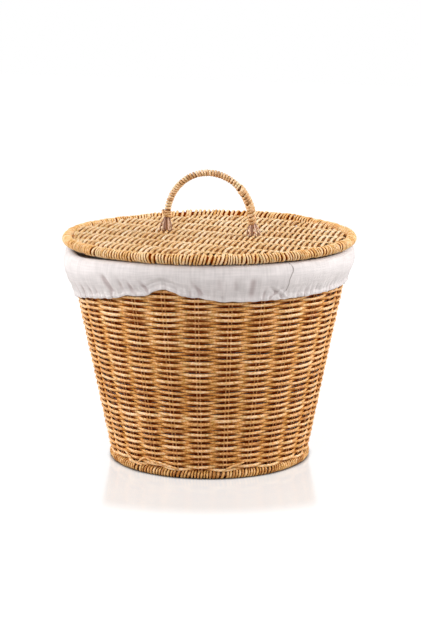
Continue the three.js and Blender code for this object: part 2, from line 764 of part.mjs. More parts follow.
const model = new THREE.Group();
model.add(basket, lid);

export default model;
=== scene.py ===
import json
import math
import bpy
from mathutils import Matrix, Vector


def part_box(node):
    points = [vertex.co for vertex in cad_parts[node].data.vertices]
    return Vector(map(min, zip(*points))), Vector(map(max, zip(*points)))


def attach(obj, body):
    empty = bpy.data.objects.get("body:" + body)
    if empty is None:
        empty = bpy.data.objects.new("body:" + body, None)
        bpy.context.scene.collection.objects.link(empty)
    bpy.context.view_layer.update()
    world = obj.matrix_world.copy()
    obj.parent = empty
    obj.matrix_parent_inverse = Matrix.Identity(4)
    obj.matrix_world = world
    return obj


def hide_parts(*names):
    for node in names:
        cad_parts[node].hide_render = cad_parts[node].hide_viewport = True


bl_info = {
    "name": "Lidded rattan basket",
    "version": (1, 0, 0),
    "blender": (4, 5, 0),
    "location": "3D View > Sidebar > Basket",
    "description": "Weaves, binds and lines a round lidded basket over its wire frame",
    "category": "Add Mesh",
}

import bpy
import numpy as np
from bpy.props import FloatProperty, FloatVectorProperty, IntProperty, PointerProperty
from mathutils import Matrix, Vector

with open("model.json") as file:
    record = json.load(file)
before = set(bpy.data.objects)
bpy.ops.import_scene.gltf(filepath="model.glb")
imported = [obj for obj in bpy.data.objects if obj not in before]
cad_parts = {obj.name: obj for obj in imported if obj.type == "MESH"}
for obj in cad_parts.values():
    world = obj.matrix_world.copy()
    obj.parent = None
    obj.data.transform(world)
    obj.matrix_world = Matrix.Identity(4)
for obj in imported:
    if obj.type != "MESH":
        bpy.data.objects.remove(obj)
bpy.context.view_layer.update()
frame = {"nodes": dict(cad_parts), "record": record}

TAU = 2 * math.pi
MM = 0.001


# Places read from the frame


def corners(node):
    """Corner points of a CAD node at rest, one row each, in metres."""
    mesh = frame["nodes"][node].data
    points = np.empty(3 * len(mesh.vertices), np.float32)
    mesh.vertices.foreach_get("co", points)
    return points.reshape(-1, 3).astype(float)


def fitted_round(directions, values, waves):
    """A smooth function of direction through values: a mean plus waves round the basket, by
    least squares."""
    counts = np.arange(1, waves + 1)

    def terms(at):
        turn = np.multiply.outer(np.asarray(at, float), counts)
        return np.concatenate([np.ones(turn.shape[:-1] + (1,)), np.cos(turn), np.sin(turn)], -1)

    weights = np.linalg.lstsq(terms(directions), values, rcond=None)[0]
    return lambda at: terms(at) @ weights


def by_direction(node, pick):
    """The directions of a ring node's corners, and pick of its section at each one, where a section
    has a row of radius and height for each corner."""
    points = corners(node)
    direction = np.round(np.arctan2(points[:, 1], points[:, 0]), 3)
    section = np.stack([np.hypot(points[:, 0], points[:, 1]), points[:, 2]], -1)
    section = np.round(section / (0.01 * MM)) * 0.01 * MM
    at = np.unique(direction)
    return at, np.array([pick(np.unique(section[direction == d], axis=0)) for d in at])


def centre_line(node, waves=0):
    """Radius and height of a hoop's centre line, as functions of direction."""
    at, middle = by_direction(node, lambda section: section.mean(0))
    return fitted_round(at, middle[:, 0], waves), fitted_round(at, middle[:, 1], waves)


def reach_from(node, radius, height):
    """The furthest that a ring node's corners are from the centre line of its hoop."""
    points = corners(node)
    return float(np.hypot(np.hypot(points[:, 0], points[:, 1]) - radius, points[:, 2] - height).max())


FOOT_R, FOOT_Z = (float(line(0.0)) for line in centre_line("foot_hoop"))
LID_R, LID_Z = (float(line(0.0)) for line in centre_line("lid_hoop"))
RIM_R, RIM_Z = centre_line("rim_hoop", waves=14)
FOOT_BOUND = reach_from("foot_binding", FOOT_R, FOOT_Z)
LID_BOUND = reach_from("lid_binding", LID_R, LID_Z)
SLOPE = float((RIM_R(0.0) - FOOT_R) / (RIM_Z(0.0) - FOOT_Z))
WALL_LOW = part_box("wall_weave")[0].z - 1.2 * MM  # the lowest row is pressed down on the binding
STAKES = sum(name.startswith("wall_stake") for name in frame["nodes"])
FIRST_STAKE = float(np.arctan2(*np.mean(corners("wall_stake_01"), 0)[1::-1]))
STAKE_LIE = math.cos(TAU / (4 * STAKES))  # the stakes lie this share of the cone's radius out
HEM_Z = fitted_round(*by_direction("liner_cuff", lambda section: section[:, 1].min()), waves=28)
CUFF_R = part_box("liner_cuff")[1].x


def wall_radius(z):
    """Radius of the middle of the wall at a height."""
    return (FOOT_R + (z - FOOT_Z) * SLOPE) * STAKE_LIE


# Settings


class WeaveSettings(bpy.types.PropertyGroup):
    """Sizes of the woven cane."""

    width: FloatProperty(
        name="Strand width", description="Across a strand, in the panel", default=3.3 * MM, unit="LENGTH"
    )
    thickness: FloatProperty(
        name="Strand thickness", description="Through a strand", default=2.8 * MM, unit="LENGTH"
    )
    spread: FloatProperty(
        name="Spread", description="How much wider a strand is over a stake", default=0.35 * MM, unit="LENGTH"
    )
    press: FloatProperty(
        name="Press", description="How much wider it is where it is pressed flat behind one",
        default=3.9 * MM, unit="LENGTH",
    )
    swing: FloatProperty(
        name="Swing", description="How far a strand goes to each side of the stakes", default=2.5 * MM,
        unit="LENGTH",
    )
    row: FloatProperty(
        name="Row pitch", description="From one row to the next, up the wall", default=3.475 * MM,
        unit="LENGTH",
    )
    wander: FloatProperty(
        name="Wander", description="How far rows stray from level", default=0.55 * MM, unit="LENGTH"
    )
    steps: IntProperty(name="Steps", description="Sections from one stake to the next", default=10, min=4)
    sides: IntProperty(name="Sides", description="Corners of a section", default=8, min=5)
    seed: IntProperty(name="Seed", description="Chooses another set of canes", default=7)


class BindingSettings(bpy.types.PropertyGroup):
    """Sizes of the cane wound round the hoops and the handle."""

    foot_pitch: FloatProperty(
        name="Foot pitch", description="From one turn to the next on the foot", default=3.95 * MM,
        unit="LENGTH",
    )
    lid_pitch: FloatProperty(
        name="Lid pitch", description="From one turn to the next on the lid", default=4.0 * MM,
        unit="LENGTH",
    )
    thickness: FloatProperty(
        name="Thickness", description="Through the binding cane", default=2.7 * MM, unit="LENGTH"
    )
    group: IntProperty(name="Group", description="Turns that lie close together", default=7, min=2)
    gap: FloatProperty(
        name="Group gap", description="Extra room between two groups, in turns", default=0.35
    )
    lean: FloatProperty(
        name="Lean", description="How far a turn slants along the hoop", default=1.1 * MM, unit="LENGTH"
    )
    seed: IntProperty(name="Seed", description="Chooses another set of turns", default=11)


class HandleSettings(bpy.types.PropertyGroup):
    """Sizes of the handle's winding and lashing."""

    strand: FloatProperty(
        name="Strand", description="Thickness of the winding", default=2.1 * MM, unit="LENGTH"
    )
    pitch: FloatProperty(
        name="Pitch", description="From one turn to the next", default=3.7 * MM, unit="LENGTH"
    )
    splice: FloatProperty(
        name="Splice", description="Thickness of the thicker winding", default=3.5 * MM, unit="LENGTH"
    )
    splice_pitch: FloatProperty(
        name="Splice pitch", description="From one thick turn to the next", default=4.3 * MM, unit="LENGTH"
    )
    splice_start: FloatProperty(
        name="Splice start", description="Angle up the arch where the thick turns end",
        default=math.radians(46), subtype="ANGLE",
    )
    lashing: FloatProperty(
        name="Lashing", description="Thickness of a lashing strand", default=1.65 * MM, unit="LENGTH"
    )


class LinerSettings(bpy.types.PropertyGroup):
    """Shape of the cloth."""

    cloth: FloatProperty(name="Cloth", description="Thickness", default=0.9 * MM, unit="LENGTH")
    over: FloatProperty(
        name="Over the rim", description="From the rim hoop's centre to the cloth", default=6.4 * MM,
        unit="LENGTH",
    )
    band: FloatProperty(name="Hem band", description="Height of the hem", default=6 * MM, unit="LENGTH")
    # the linen's painted shade in the folds is darkest at this depth
    fold: FloatProperty(name="Fold depth", description="Depth at which a fold is darkest", default=1.5 * MM,
                        unit="LENGTH")
    gather: FloatProperty(name="Gathers", description="Depth of the fine gathers", default=0.55 * MM,
                          unit="LENGTH")
    seed: IntProperty(name="Seed", description="Chooses another set of folds", default=5)


class ColourSettings(bpy.types.PropertyGroup):
    """Colours of the finishes, in linear light."""

    deep: FloatVectorProperty(name="Deep", description="Darkest cane", default=(0.42, 0.15, 0.032),
                              subtype="COLOR")
    warm: FloatVectorProperty(name="Warm", description="Usual cane", default=(0.77, 0.39, 0.130),
                              subtype="COLOR")
    pale: FloatVectorProperty(name="Pale", description="Palest cane", default=(0.95, 0.675, 0.425),
                              subtype="COLOR")
    wire: FloatVectorProperty(name="Wire", description="Frame wire", default=(0.42, 0.20, 0.10),
                              subtype="COLOR")
    linen: FloatVectorProperty(name="Linen", description="Liner cloth", default=(0.775, 0.72, 0.71),
                               subtype="COLOR")
    lashing: FloatVectorProperty(name="Lashing", description="Lashing cane", default=(0.22, 0.095, 0.055),
                                 subtype="COLOR")


SETTINGS = {
    "basket_weave": WeaveSettings,
    "basket_binding": BindingSettings,
    "basket_handle": HandleSettings,
    "basket_liner": LinerSettings,
    "basket_colours": ColourSettings,
}


# Surfaces


def put_mesh(name, body, surface, material, replaced=()):
    """Makes an object that rides on a body, from a surface: corner points, arrays of faces with
    equal corner counts, and named values for each corner."""
    points, faces, values = surface
    mesh = bpy.data.meshes.new(name)
    mesh.vertices.add(len(points))
    mesh.vertices.foreach_set("co", np.ascontiguousarray(points, np.float32).ravel())
    loops = np.concatenate([f.ravel() for f in faces])
    counts = np.concatenate([np.full(len(f), f.shape[1]) for f in faces])
    mesh.loops.add(len(loops))
    mesh.loops.foreach_set("vertex_index", loops.astype(np.int32))
    mesh.polygons.add(len(counts))
    mesh.polygons.foreach_set("loop_start", (np.cumsum(counts) - counts).astype(np.int32))
    mesh.polygons.foreach_set("use_smooth", np.ones(len(counts), bool))
    mesh.update(calc_edges=True)
    for key, value in values.items():
        layer = mesh.attributes.new(key, "FLOAT", "POINT")
        layer.data.foreach_set("value", np.ascontiguousarray(value, np.float32).ravel())
    piece = bpy.data.objects.new(name, mesh)
    bpy.context.scene.collection.objects.link(piece)
    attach(piece, body)
    if replaced:
        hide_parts(*replaced)
    mesh.materials.append(material)
    return piece


def unit(vectors):
    """Vectors scaled to length 1."""
    return vectors / np.linalg.norm(vectors, axis=-1, keepdims=True)


def around(radius, direction, height):
    """Points at a radius and a height, in directions round the Z axis."""
    x, y = radius * np.cos(direction), radius * np.sin(direction)
    return np.stack(np.broadcast_arrays(x, y, height), -1)


def sweep(centre, side, up, half_side, half_up, sides, closed):
    """Strands with an oval section. Corner k of a section is centre + half_side cos(a) side +
    half_up sin(a) up, with a = k turns / sides. centre, side and up hold strand, step and xyz.
    Open strands get flat ends. Returns the corner points and the arrays of faces."""
    strands, steps = centre.shape[:2]
    turn = np.arange(sides) * TAU / sides
    across = (half_side[..., None] * np.cos(turn))[..., None] * side[:, :, None]
    above = (half_up[..., None] * np.sin(turn))[..., None] * up[:, :, None]
    points = (centre[:, :, None] + across + above).reshape(-1, 3)
    step = np.arange(steps if closed else steps - 1)[:, None]
    k = np.arange(sides)
    here, there = step * sides, (step + 1) % steps * sides
    after = (k + 1) % sides
    quads = np.stack([here + k, here + after, there + after, there + k], -1).reshape(-1, 4)
    first, last = k[::-1], (steps - 1) * sides + k
    course = np.roll(centre, -1, 1) - centre
    if np.sum(np.cross(side, up)[:, :-1] * course[:, :-1]) < 0:
        quads, first, last = quads[:, ::-1], first[::-1], last[::-1]
    starts = (np.arange(strands) * steps * sides)[:, None]
    faces = [(quads[None] + starts[..., None]).reshape(-1, 4)]
    if not closed:
        faces += [first + starts, last + starts]
    return points, faces


def laid_strand(radius, direction, height, half, flatness, sides):
    """One strand that lies on a round surface. Its line is given by radii, directions and heights.
    It reaches half to each side along the surface, and flatness times half out of it."""
    centre = around(radius, direction, height)[None]
    out = around(1.0, direction, 0.0)[None]
    side = unit(np.cross(np.gradient(centre, axis=1), out))
    return sweep(centre, side, out, half[None], flatness * half[None], sides, False)


def joined(parts):
    """One set of corner points and arrays of faces from several."""
    starts = np.cumsum([0] + [len(points) for points, _ in parts])
    faces = [f + start for start, (_, arrays) in zip(starts, parts) for f in arrays]
    return np.concatenate([points for points, _ in parts]), faces


def every_corner(values, sides):
    """Values of each step, repeated for the corners of its section."""
    return np.repeat(values.ravel(), sides)


def waves_round(rows, directions, low, high, rng):
    """A smooth random height for each row at each direction, about 1 in size: a sum of waves round
    the basket with random phases."""
    counts = np.arange(low, high + 1)
    phase = rng.uniform(0, TAU, (rows, len(counts)))
    size = rng.normal(0, 1, (rows, len(counts))) * math.sqrt(2 / len(counts))
    turn = counts[None, :, None] * directions + phase[..., None]
    return np.einsum("rk,rkn->rn", size, np.cos(turn))


def cane_tones(rows, steps, canes, rng):
    """A tone from 0 to 1 along each row, which changes where one cane ends and the next begins."""
    tones = np.empty((rows, steps))
    for row in range(rows):
        ends = np.sort(rng.integers(0, steps, rng.integers(1, canes + 1)))
        cane = np.searchsorted(ends, np.arange(steps)) % len(ends)
        tones[row] = rng.beta(2.2, 2.2, len(ends))[cane]
    return tones


def over_and_under(phase):
    """The swing of a strand between stakes, from -1 behind one to 1 in front of the next: a cosine
    that is a little fuller at its ends."""
    wave = np.cos(phase)
    return wave * (1.32 - 0.32 * wave * wave)


def strand_width(w, swing):
    """Width of a strand: spread where it is in front of a stake, pressed flat where it is behind
    one."""
    behind = np.clip(-0.1 - swing, 0, 0.9) / 0.9
    front = np.clip(swing, 0, 1) ** 2
    return w.width + w.spread * front + w.press * behind


def depth_below(swing, half_thick, w):
    """How deep each corner of a section lies in the panel, from 0 at its face to 1 at its back. The cane's
    finish paints shade by this depth.
    """
    turn = np.arange(w.sides) * TAU / w.sides
    out = w.swing * swing[..., None] + half_thick[..., None] * np.sin(turn)
    return (0.5 - 0.5 * out / (w.swing + w.thickness / 2)).ravel()


# Woven panels

WALL_BANDS = 3
SINK_FROM = 0.55  # the rows dip with the rim above this share of the height
SINK_OVER = 0.45  # and more and more over this share of it


def wall_rows(context, first, last, rows):
    """Strands that go round the wall, alternately in front of and behind the stakes. A row's
    radius is the cone's radius plus swing cos(stakes / 2 direction), with the sign changed from
    one row to the next."""
    w = context.scene.basket_weave
    rng = np.random.default_rng(w.seed)
    steps = STAKES * w.steps
    direction = FIRST_STAKE + np.arange(steps) * TAU / steps
    row = np.arange(rows)[:, None]
    share = (row + 0.5) / rows
    top = float(np.max(RIM_Z(direction))) - FOOT_BOUND
    dip = top + FOOT_BOUND - RIM_Z(direction)
    sunk = dip * np.clip((share - SINK_FROM) / SINK_OVER, 0, 1) ** 1.5
    drift = waves_round(1, direction, 2, 9, rng)
    lift = waves_round(1, direction, 1, 5, rng)
    field = drift * np.cos(2.6 * share * math.pi) + lift * np.sin(3.4 * share * math.pi)
    settle = np.sin(math.pi * share) ** 0.35
    stray = waves_round(rows, direction, STAKES // 3, STAKES, rng)
    z = WALL_LOW + share * (top - WALL_LOW) - sunk
    z = z + settle * w.wander * field + 0.22 * w.wander * stray
    swing = over_and_under(STAKES / 2 * (direction - FIRST_STAKE) + math.pi * (row % 2))
    thick = 1 + 0.07 * rng.normal(0, 1, (rows, 1)) + 0.04 * waves_round(rows, direction, 4, 24, rng)
    out = w.swing * swing * (1 + 0.04 * waves_round(rows, direction, 3, 12, rng))
    lean = math.atan(SLOPE)
    centre = around(wall_radius(z) + out * math.cos(lean), direction, z - out * math.sin(lean))
    side = np.broadcast_to(around(math.sin(lean), direction, math.cos(lean)), centre.shape)
    up = np.broadcast_to(around(math.cos(lean), direction, -math.sin(lean)), centre.shape)
    half_side = thick * strand_width(w, swing) / 2
    half_up = thick * w.thickness / 2
    tones = cane_tones(rows, steps, 4, rng)
    pick = slice(first, last)
    points, faces = sweep(
        centre[pick], side[pick], up[pick], half_side[pick], half_up[pick], w.sides, True
    )
    # dip sets where the cane's finish paints shade
    values = {
        "tone": every_corner(tones[pick], w.sides),
        "dip": depth_below(swing[pick], half_up[pick], w),
    }
    return points, faces, values


class BASKET_OT_weave_wall(bpy.types.Operator):
    """Weave the wall in bands of rows"""

    bl_idname = "basket.weave_wall"
    bl_label = "Weave wall"

    def execute(self, context):
        height = float(np.max(RIM_Z(np.linspace(0, TAU, 90)))) - FOOT_BOUND - WALL_LOW
        rows = 2 * round(height / context.scene.basket_weave.row / 2)
        bands = np.linspace(0, rows, WALL_BANDS + 1).astype(int)
        for band, (first, last) in enumerate(zip(bands[:-1], bands[1:])):
            put_mesh(
                f"wall_weave_band_{band + 1}", "basket", wall_rows(context, first, last, rows),
                cane(context, "Wall cane", stretch=(0.75, 0.75, 1.0)), ["wall_weave"],
            )
        return {"FINISHED"}


# Loose strand ends over the foot of the wall: directions in degrees and heights in millimetres
STRAYS = (
    ((240.5, 24.0), (242.1, 20.8), (246.5, 12.6), (253.7, 9.6)),
    ((250.5, 12.5), (254.0, 18.5), (256.7, 20.8), (259.4, 19.0), (263.0, 15.0)),
    ((259.8, 19.0), (266.5, 17.2), (273.3, 13.6), (277.0, 11.6)),
    ((303.0, 13.0), (307.5, 17.0), (313.0, 20.5)),
)
STRAY_OUT = 0.9 * MM  # from the wall's face to the middle of a stray


class BASKET_OT_lay_strays(bpy.types.Operator):
    """Lay the loose strand ends over the foot of the wall"""

    bl_idname = "basket.lay_strays"
    bl_label = "Lay strays"

    def execute(self, context):
        w = context.scene.basket_weave
        parts = []
        for path in STRAYS:
            direction, height = smooth_through(np.array(path), 8).T * np.array([[TAU / 360], [MM]])
            r = wall_radius(height) + w.swing + w.thickness / 2 + STRAY_OUT
            taper = np.interp(np.linspace(0, 1, len(r)), (0, 0.15, 0.85, 1), (0.2, 0.45, 0.45, 0.2))
            parts.append(laid_strand(r, direction, height, w.thickness * taper, 0.8, 8))
        points, faces = joined(parts)
        values = {"tone": np.full(len(points), 0.6), "dip": np.full(len(points), 0.05)}
        put_mesh("stray_strands", "basket", (points, faces, values),
                 cane(context, "Stray cane", stretch=(0.45, 0.45, 0.9)))
        return {"FINISHED"}


# Places where the strands of the lid have been pushed apart, as x, y, width and push in metres
LID_PARTINGS = (
    (-0.020, -0.119, 0.007, 0.0026),
    (0.103, -0.040, 0.007, 0.0020),
    (0.149, 0.031, 0.008, 0.0020),
    (0.140, -0.046, 0.008, 0.0018),
    (-0.071, -0.012, 0.007, 0.0022),
    (-0.140, 0.012, 0.012, 0.0020),
    (-0.132, -0.048, 0.010, 0.0014),
    (-0.060, 0.118, 0.012, 0.0020),
    (-0.020, 0.132, 0.012, 0.0018),
    (0.066, 0.126, 0.012, 0.0018),
)


PANEL_OVER = 0.6 * MM  # how far the strands reach past a panel's edge
PANEL_END = 15 * MM  # length of a strand's end, which may bend down
ROW_FILL = 0.45 * MM  # how much wider a strand is between stakes


def panel_rows(context, node, stakes_of, strand_angle, row_pitch, partings, seed, bend=0.0, shade=0.9):
    """Straight strands across parallel stakes. A strand's height is the panel's middle plus swing
    cos(pi q), where q counts stakes across the panel, with the sign changed from one strand to the
    next. The ends lie on the panel's round edge, where they bend down by the given height."""
    w = context.scene.basket_weave
    rng = np.random.default_rng(seed)
    low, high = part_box(node)
    middle = (low.z + high.z) / 2
    edge = (high.x - low.x) / 2 + PANEL_OVER
    names = sorted(name for name in frame["nodes"] if name.startswith(stakes_of))
    stakes = np.array([corners(name).mean(0)[:2] for name in names])
    stake = corners(names[len(names) // 2])[:, :2]
    run = np.linalg.svd(stake - stake.mean(0), full_matrices=False)[2][0]
    across = np.array([-run[1], run[0]])
    places = np.sort(stakes @ across)
    pitch = (places[-1] - places[0]) / (len(places) - 1)
    along = np.array([math.cos(strand_angle), math.sin(strand_angle)])
    beside = np.array([-along[1], along[0]])
    count = 2 * int(edge / row_pitch)
    offset = (np.arange(count) - (count - 1) / 2)[:, None] * row_pitch
    steps = int(2 * edge / pitch * w.steps * 0.9)
    reach = np.sqrt(np.maximum(edge**2 - offset**2, 0))
    s = reach * np.linspace(-1, 1, steps)
    # The strays of a strand are waves along it
    half_round = np.linspace(0, math.pi, steps)
    stray = waves_round(count, half_round, 2, 12, rng)
    shared = waves_round(1, half_round, 1, 5, rng)
    d = offset + w.wander * (0.28 * stray + 0.9 * shared * np.cos(offset / edge * 4))
    x = s * along[0] + d * beside[0]
    y = s * along[1] + d * beside[1]
    for px, py, width, push in partings:
        away = (x - px) * beside[0] + (y - py) * beside[1]
        near = np.exp(-((x - px) ** 2 + (y - py) ** 2) / width**2)
        shove = push * near * np.tanh(away / (0.5 * row_pitch))
        x, y = x + shove * beside[0], y + shove * beside[1]
    q = (x * across[0] + y * across[1] - places[0]) / pitch
    swing = over_and_under(math.pi * (q + np.arange(count)[:, None] - count // 2))
    tail = np.clip((np.abs(s) - reach) / PANEL_END + 1, 0, 1)
    uneven = 1 + 0.05 * waves_round(count, half_round, 2, 8, rng)
    pressed = 1 - 0.75 * tail * bool(bend)
    z = middle + w.swing * swing * uneven * pressed - bend * tail**2 * (3 - 2 * tail)
    centre = np.stack([x, y, z], -1)
    side = np.broadcast_to([*beside, 0.0], centre.shape)
    up = np.broadcast_to([0.0, 0.0, 1.0], centre.shape)
    thick = 1 + 0.05 * rng.normal(0, 1, (count, 1)) + np.zeros_like(s)
    # Between stakes, where a strand goes from one side of the panel to the other, it fills its row
    half_side = thick * (strand_width(w, swing) + ROW_FILL * (1 - swing**2)) / 2
    half_up = thick * w.thickness / 2
    points, faces = sweep(centre, side, up, half_side, half_up, w.sides, False)
    # dip sets where the cane's finish paints shade, scaled by shade
    values = {
        "tone": every_corner(cane_tones(count, steps, 2, rng), w.sides),
        "dip": shade * depth_below(swing, half_up, w),
    }
    return points, faces, values


class BASKET_OT_weave_base(bpy.types.Operator):
    """Weave the base"""

    bl_idname = "basket.weave_base"
    bl_label = "Weave base"

    def execute(self, context):
        rows = panel_rows(context, "base_weave", "base_stake", TAU / 4, 3.45 * MM, (), seed=21)
        put_mesh("base_weave_strands", "basket", rows,
                 cane(context, "Base cane", stretch=(1, 0.12, 1)), ["base_weave"])
        return {"FINISHED"}


LID_STRANDS = math.radians(99.4)  # direction of the lid's strands from the X axis


class BASKET_OT_weave_lid(bpy.types.Operator):
    """Weave the lid's panel"""

    bl_idname = "basket.weave_lid"
    bl_label = "Weave lid"

    def execute(self, context):
        rows = panel_rows(context, "lid_weave", "lid_stake", LID_STRANDS, 3.57 * MM, LID_PARTINGS,
                          seed=33, bend=4.5 * MM, shade=0.53)
        # painted light: paler and brighter than the wall's cane, as if lit from above
        skin = cane(context, "Lid cane", stretch=(1, 0.3, 1), turn=LID_STRANDS - TAU / 4, bright=0.28,
                    tint=(0.90, 1.03, 1.19), dull=0.22)
        put_mesh("lid_weave_strands", "lid", rows, skin, ["lid_weave"])
        return {"FINISHED"}


# Windings


def turn_places(turns, group, gap, rng):
    """Where each turn begins, from 0 to 1. Turns lie in groups of random size with a wider gap
    after each group."""
    room = 1 + 0.09 * rng.normal(0, 1, turns)
    turn = 0
    while turn < turns:
        turn += int(rng.integers(group // 2, group + group // 2))
        if turn < turns:
            room[turn] += gap * rng.uniform(0.5, 1.5)
    places = np.concatenate([[0], np.cumsum(np.maximum(room, 0.6))])
    return places / places[-1]


def stretched(places, middle, width, gain):
    """Turn places drawn out round one share of the length: there a turn takes up 1 + gain times
    the room that it has elsewhere."""
    at = np.linspace(0, 1, 721)
    crowd = np.cumsum(1 / (1 + gain * np.exp(-(((at - middle) / width) ** 4))))
    return np.interp(places, (crowd - crowd[0]) / (crowd[-1] - crowd[0]), at)


def loosened(places, loose, turns):
    """Turn places with wider gaps at some shares of the length: the turns near each one are moved
    away from it by half its gap, given in turns."""
    for at, gap in loose:
        away = places - at
        away = away - np.round(away)
        near = np.exp(-((away * turns / 5) ** 2))
        places = places + 0.5 * gap / turns * near * np.tanh(away * turns * 4)
    return places


def groove(middle, sides=8):
    """How deep each corner of a wound strand's section lies, from 0 on top to 1 underneath. The cane's finish
    paints shade by it in the grooves between turns.
    """
    return np.clip(middle - 0.62 * np.sin(np.arange(sides) * TAU / sides), 0, 1)


def wind(line, turns, steps, reach, half_width, half_thick, lean, rng, places, closed, loose=1.0):
    """One strand wound round a line. After u turns it is at the line's point for u, moved by reach
    (cos(2 pi u) out + sin(2 pi u) beside), where out and beside are square to the line, and reach is
    given for each share of the line. Reach, tone and lean change a little from turn to turn, and
    more so in a loose winding. Where turns are crowded, the strand is narrower."""
    sides = 8
    total = turns * steps
    u = np.arange(total + (not closed)) / steps
    index = np.floor(u - 0.25).astype(int) % turns
    share = np.interp(u, np.arange(turns + 1), places)
    centre, out, beside, along = line(share)
    psi = TAU * u

    def each_turn(size):
        at_turn = np.append(rng.normal(0, 1, turns), 0)
        at_turn[-1] = at_turn[0]
        return size * np.interp(u, np.arange(turns + 1), at_turn)

    def each_group(size, length):
        knots = np.arange(0, turns + length, length)
        level = rng.normal(0, 1, len(knots))
        level[-1] = level[0]
        return size * np.interp(u * (knots[-1] / turns), knots, level)

    cos, sin = np.cos(psi)[:, None], np.sin(psi)[:, None]
    radial = out * cos + beside * sin
    swell = 1 + loose * (each_turn(0.065) + each_group(0.03, 5))
    slant = (lean * (1 + loose * (each_turn(0.5) + each_group(0.9, 9))) * np.sin(psi))[:, None]
    if not closed:
        slant = slant * np.clip(u / 0.5, 0, 1)[:, None]
    path = centre + radial * (reach(share) * swell)[:, None] + along * slant
    course = np.roll(path, -1, 0) - np.roll(path, 1, 0)
    if not closed:
        course[0], course[-1] = path[1] - path[0], path[-1] - path[-2]
    width = unit(np.cross(course, radial))
    rise = unit(np.cross(width, course))
    room = np.interp(u, np.arange(turns) + 0.5, np.diff(places) * turns, period=turns)
    half_w = half_width * np.clip(room, 0.6, 1.1) * (1 + each_turn(0.08))
    half_t = half_thick * (1 + each_turn(0.06))
    points, faces = sweep(path[None], width[None], rise[None], half_w[None], half_t[None], sides, closed)
    tones = rng.beta(2, 2, turns)[index]
    # dip: depth for the painted shade in the grooves; a few random turns are darker cane
    dark = 0.2 * (rng.random(turns) < 0.06 * loose)[index]
    dip = np.tile(groove(0.66), len(u)) + every_corner(dark, sides)
    return points, faces, {"tone": every_corner(tones, sides), "dip": dip}


def hoop_line(radius, height):
    """The frame of a level hoop for a share of its length: a turn goes from the hoop's inner side
    under it, outwards and back over it."""

    def line(share):
        direction = TAU * share
        centre, outward = around(radius, direction, height), around(1.0, direction, 0.0)
        up = np.broadcast_to([0.0, 0.0, 1.0], centre.shape)
        return centre, -outward, -up, np.cross(up, outward)

    return line


BINDING_INSIDE = 0.1 * MM  # the turns stay this much within the solid binding
LOWEST = 0.05 * MM  # nothing comes nearer to the floor


def bind_hoop(context, body, node, radius, height, bound, pitch, lean, loose, seed, bright, sparse):
    """Winds a strand round a hoop, out to the radius that the CAD binding has. Loose places are
    given as directions in degrees and gaps in turns. The turns are sparse round one direction: it
    is given with the width of the stretch, in degrees, how much more room a turn has there, and how
    much further out and higher it lies."""
    b = context.scene.basket_binding
    rng = np.random.default_rng(seed)
    turns = round(TAU * radius / pitch)
    middle, width, gain, extra = sparse
    places = stretched(turn_places(turns, b.group, b.gap, rng), middle / 360, width / 360, gain)
    places = loosened(places, [(at / 360, gap) for at, gap in loose], turns)
    half = b.thickness / 2
    line = hoop_line(radius, height)

    def raised(degrees):
        return extra * np.exp(-(((degrees - middle) / width) ** 4))

    def reach(share):
        return bound - half - BINDING_INSIDE + raised(share * 360)

    points, faces, values = wind(line, turns, 14, reach, 0.38 * pitch, half, lean, rng, places, True)
    if extra:
        # Strand ends laid along the hoop fill it out to the turns. They are painted dark, as shade behind the
        # turns.
        share = np.arange(720) / 720
        centre, inwards, down, _ = line(share)
        under = (reach(share) - half)[None]
        core = sweep(centre[None], inwards[None], down[None], under, under, 12, True)
        points, faces = joined([(points, faces), core])
        values = {key: np.append(value, np.full(len(core[0]), 0.72)) for key, value in values.items()}
    points[:, 2] += raised(np.degrees(np.arctan2(points[:, 1], points[:, 0])) % 360)
    points[:, 2] = np.maximum(points[:, 2], LOWEST)
    name = node + "_turns"
    skin = cane(context, name.replace("_", " "), stretch=(0.6, 0.6, 0.6), bright=bright,
                tint=(1.0, 1.08, 1.15), dull=0.35)
    put_mesh(name, body, (points, faces, values), skin, [node])


# Places where turns have moved apart, as a direction in degrees and the extra gap in turns
FOOT_LOOSE = ((248, 0.8), (276, 0.6), (301, 0.9), (329, 0.7), (20, 0.8), (90, 0.9), (150, 0.8))
LID_LOOSE = (
    (228.3, 0.9), (245, 1.1), (273, 0.7), (288.3, 0.6), (291.8, 0.6), (295, 0.9), (298.2, 0.9),
    (306.8, 0.7), (311.7, 0.4), (315.5, 0.5), (322.9, 1.4), (343.5, 0.9), (354.9, 0.9), (12, 0.7),
    (40, 0.6), (58, 0.5), (66, 0.5), (76, 0.6), (81, 0.5), (88, 0.5), (101.4, 0.6), (107, 0.6),
    (121.8, 0.5), (127.9, 0.6), (139, 0.6), (146, 0.7), (160, 0.7), (176, 0.7), (205, 0.6),
)
# Sparse stretches, as bind_hoop takes them
FOOT_SPARSE = (262, 20, 0.05, 0.0)
LID_SPARSE = (102, 34, 0.52, 1.6 * MM)


class BASKET_OT_bind_hoops(bpy.types.Operator):
    """Bind the foot hoop and the lid hoop with cane"""

    bl_idname = "basket.bind_hoops"
    bl_label = "Bind hoops"

    def execute(self, context):
        b = context.scene.basket_binding
        # painted light: the foot's binding is darker, as shade low down, and the lid's paler, as light from
        # above
        bind_hoop(context, "basket", "foot_binding", FOOT_R, FOOT_Z, FOOT_BOUND, b.foot_pitch,
                  -0.4 * b.lean, FOOT_LOOSE, b.seed, -0.3, FOOT_SPARSE)
        bind_hoop(context, "lid", "lid_binding", LID_R, LID_Z, LID_BOUND, b.lid_pitch, b.lean,
                  LID_LOOSE, b.seed + 1, 0.45, LID_SPARSE)
        return {"FINISHED"}


# Handle

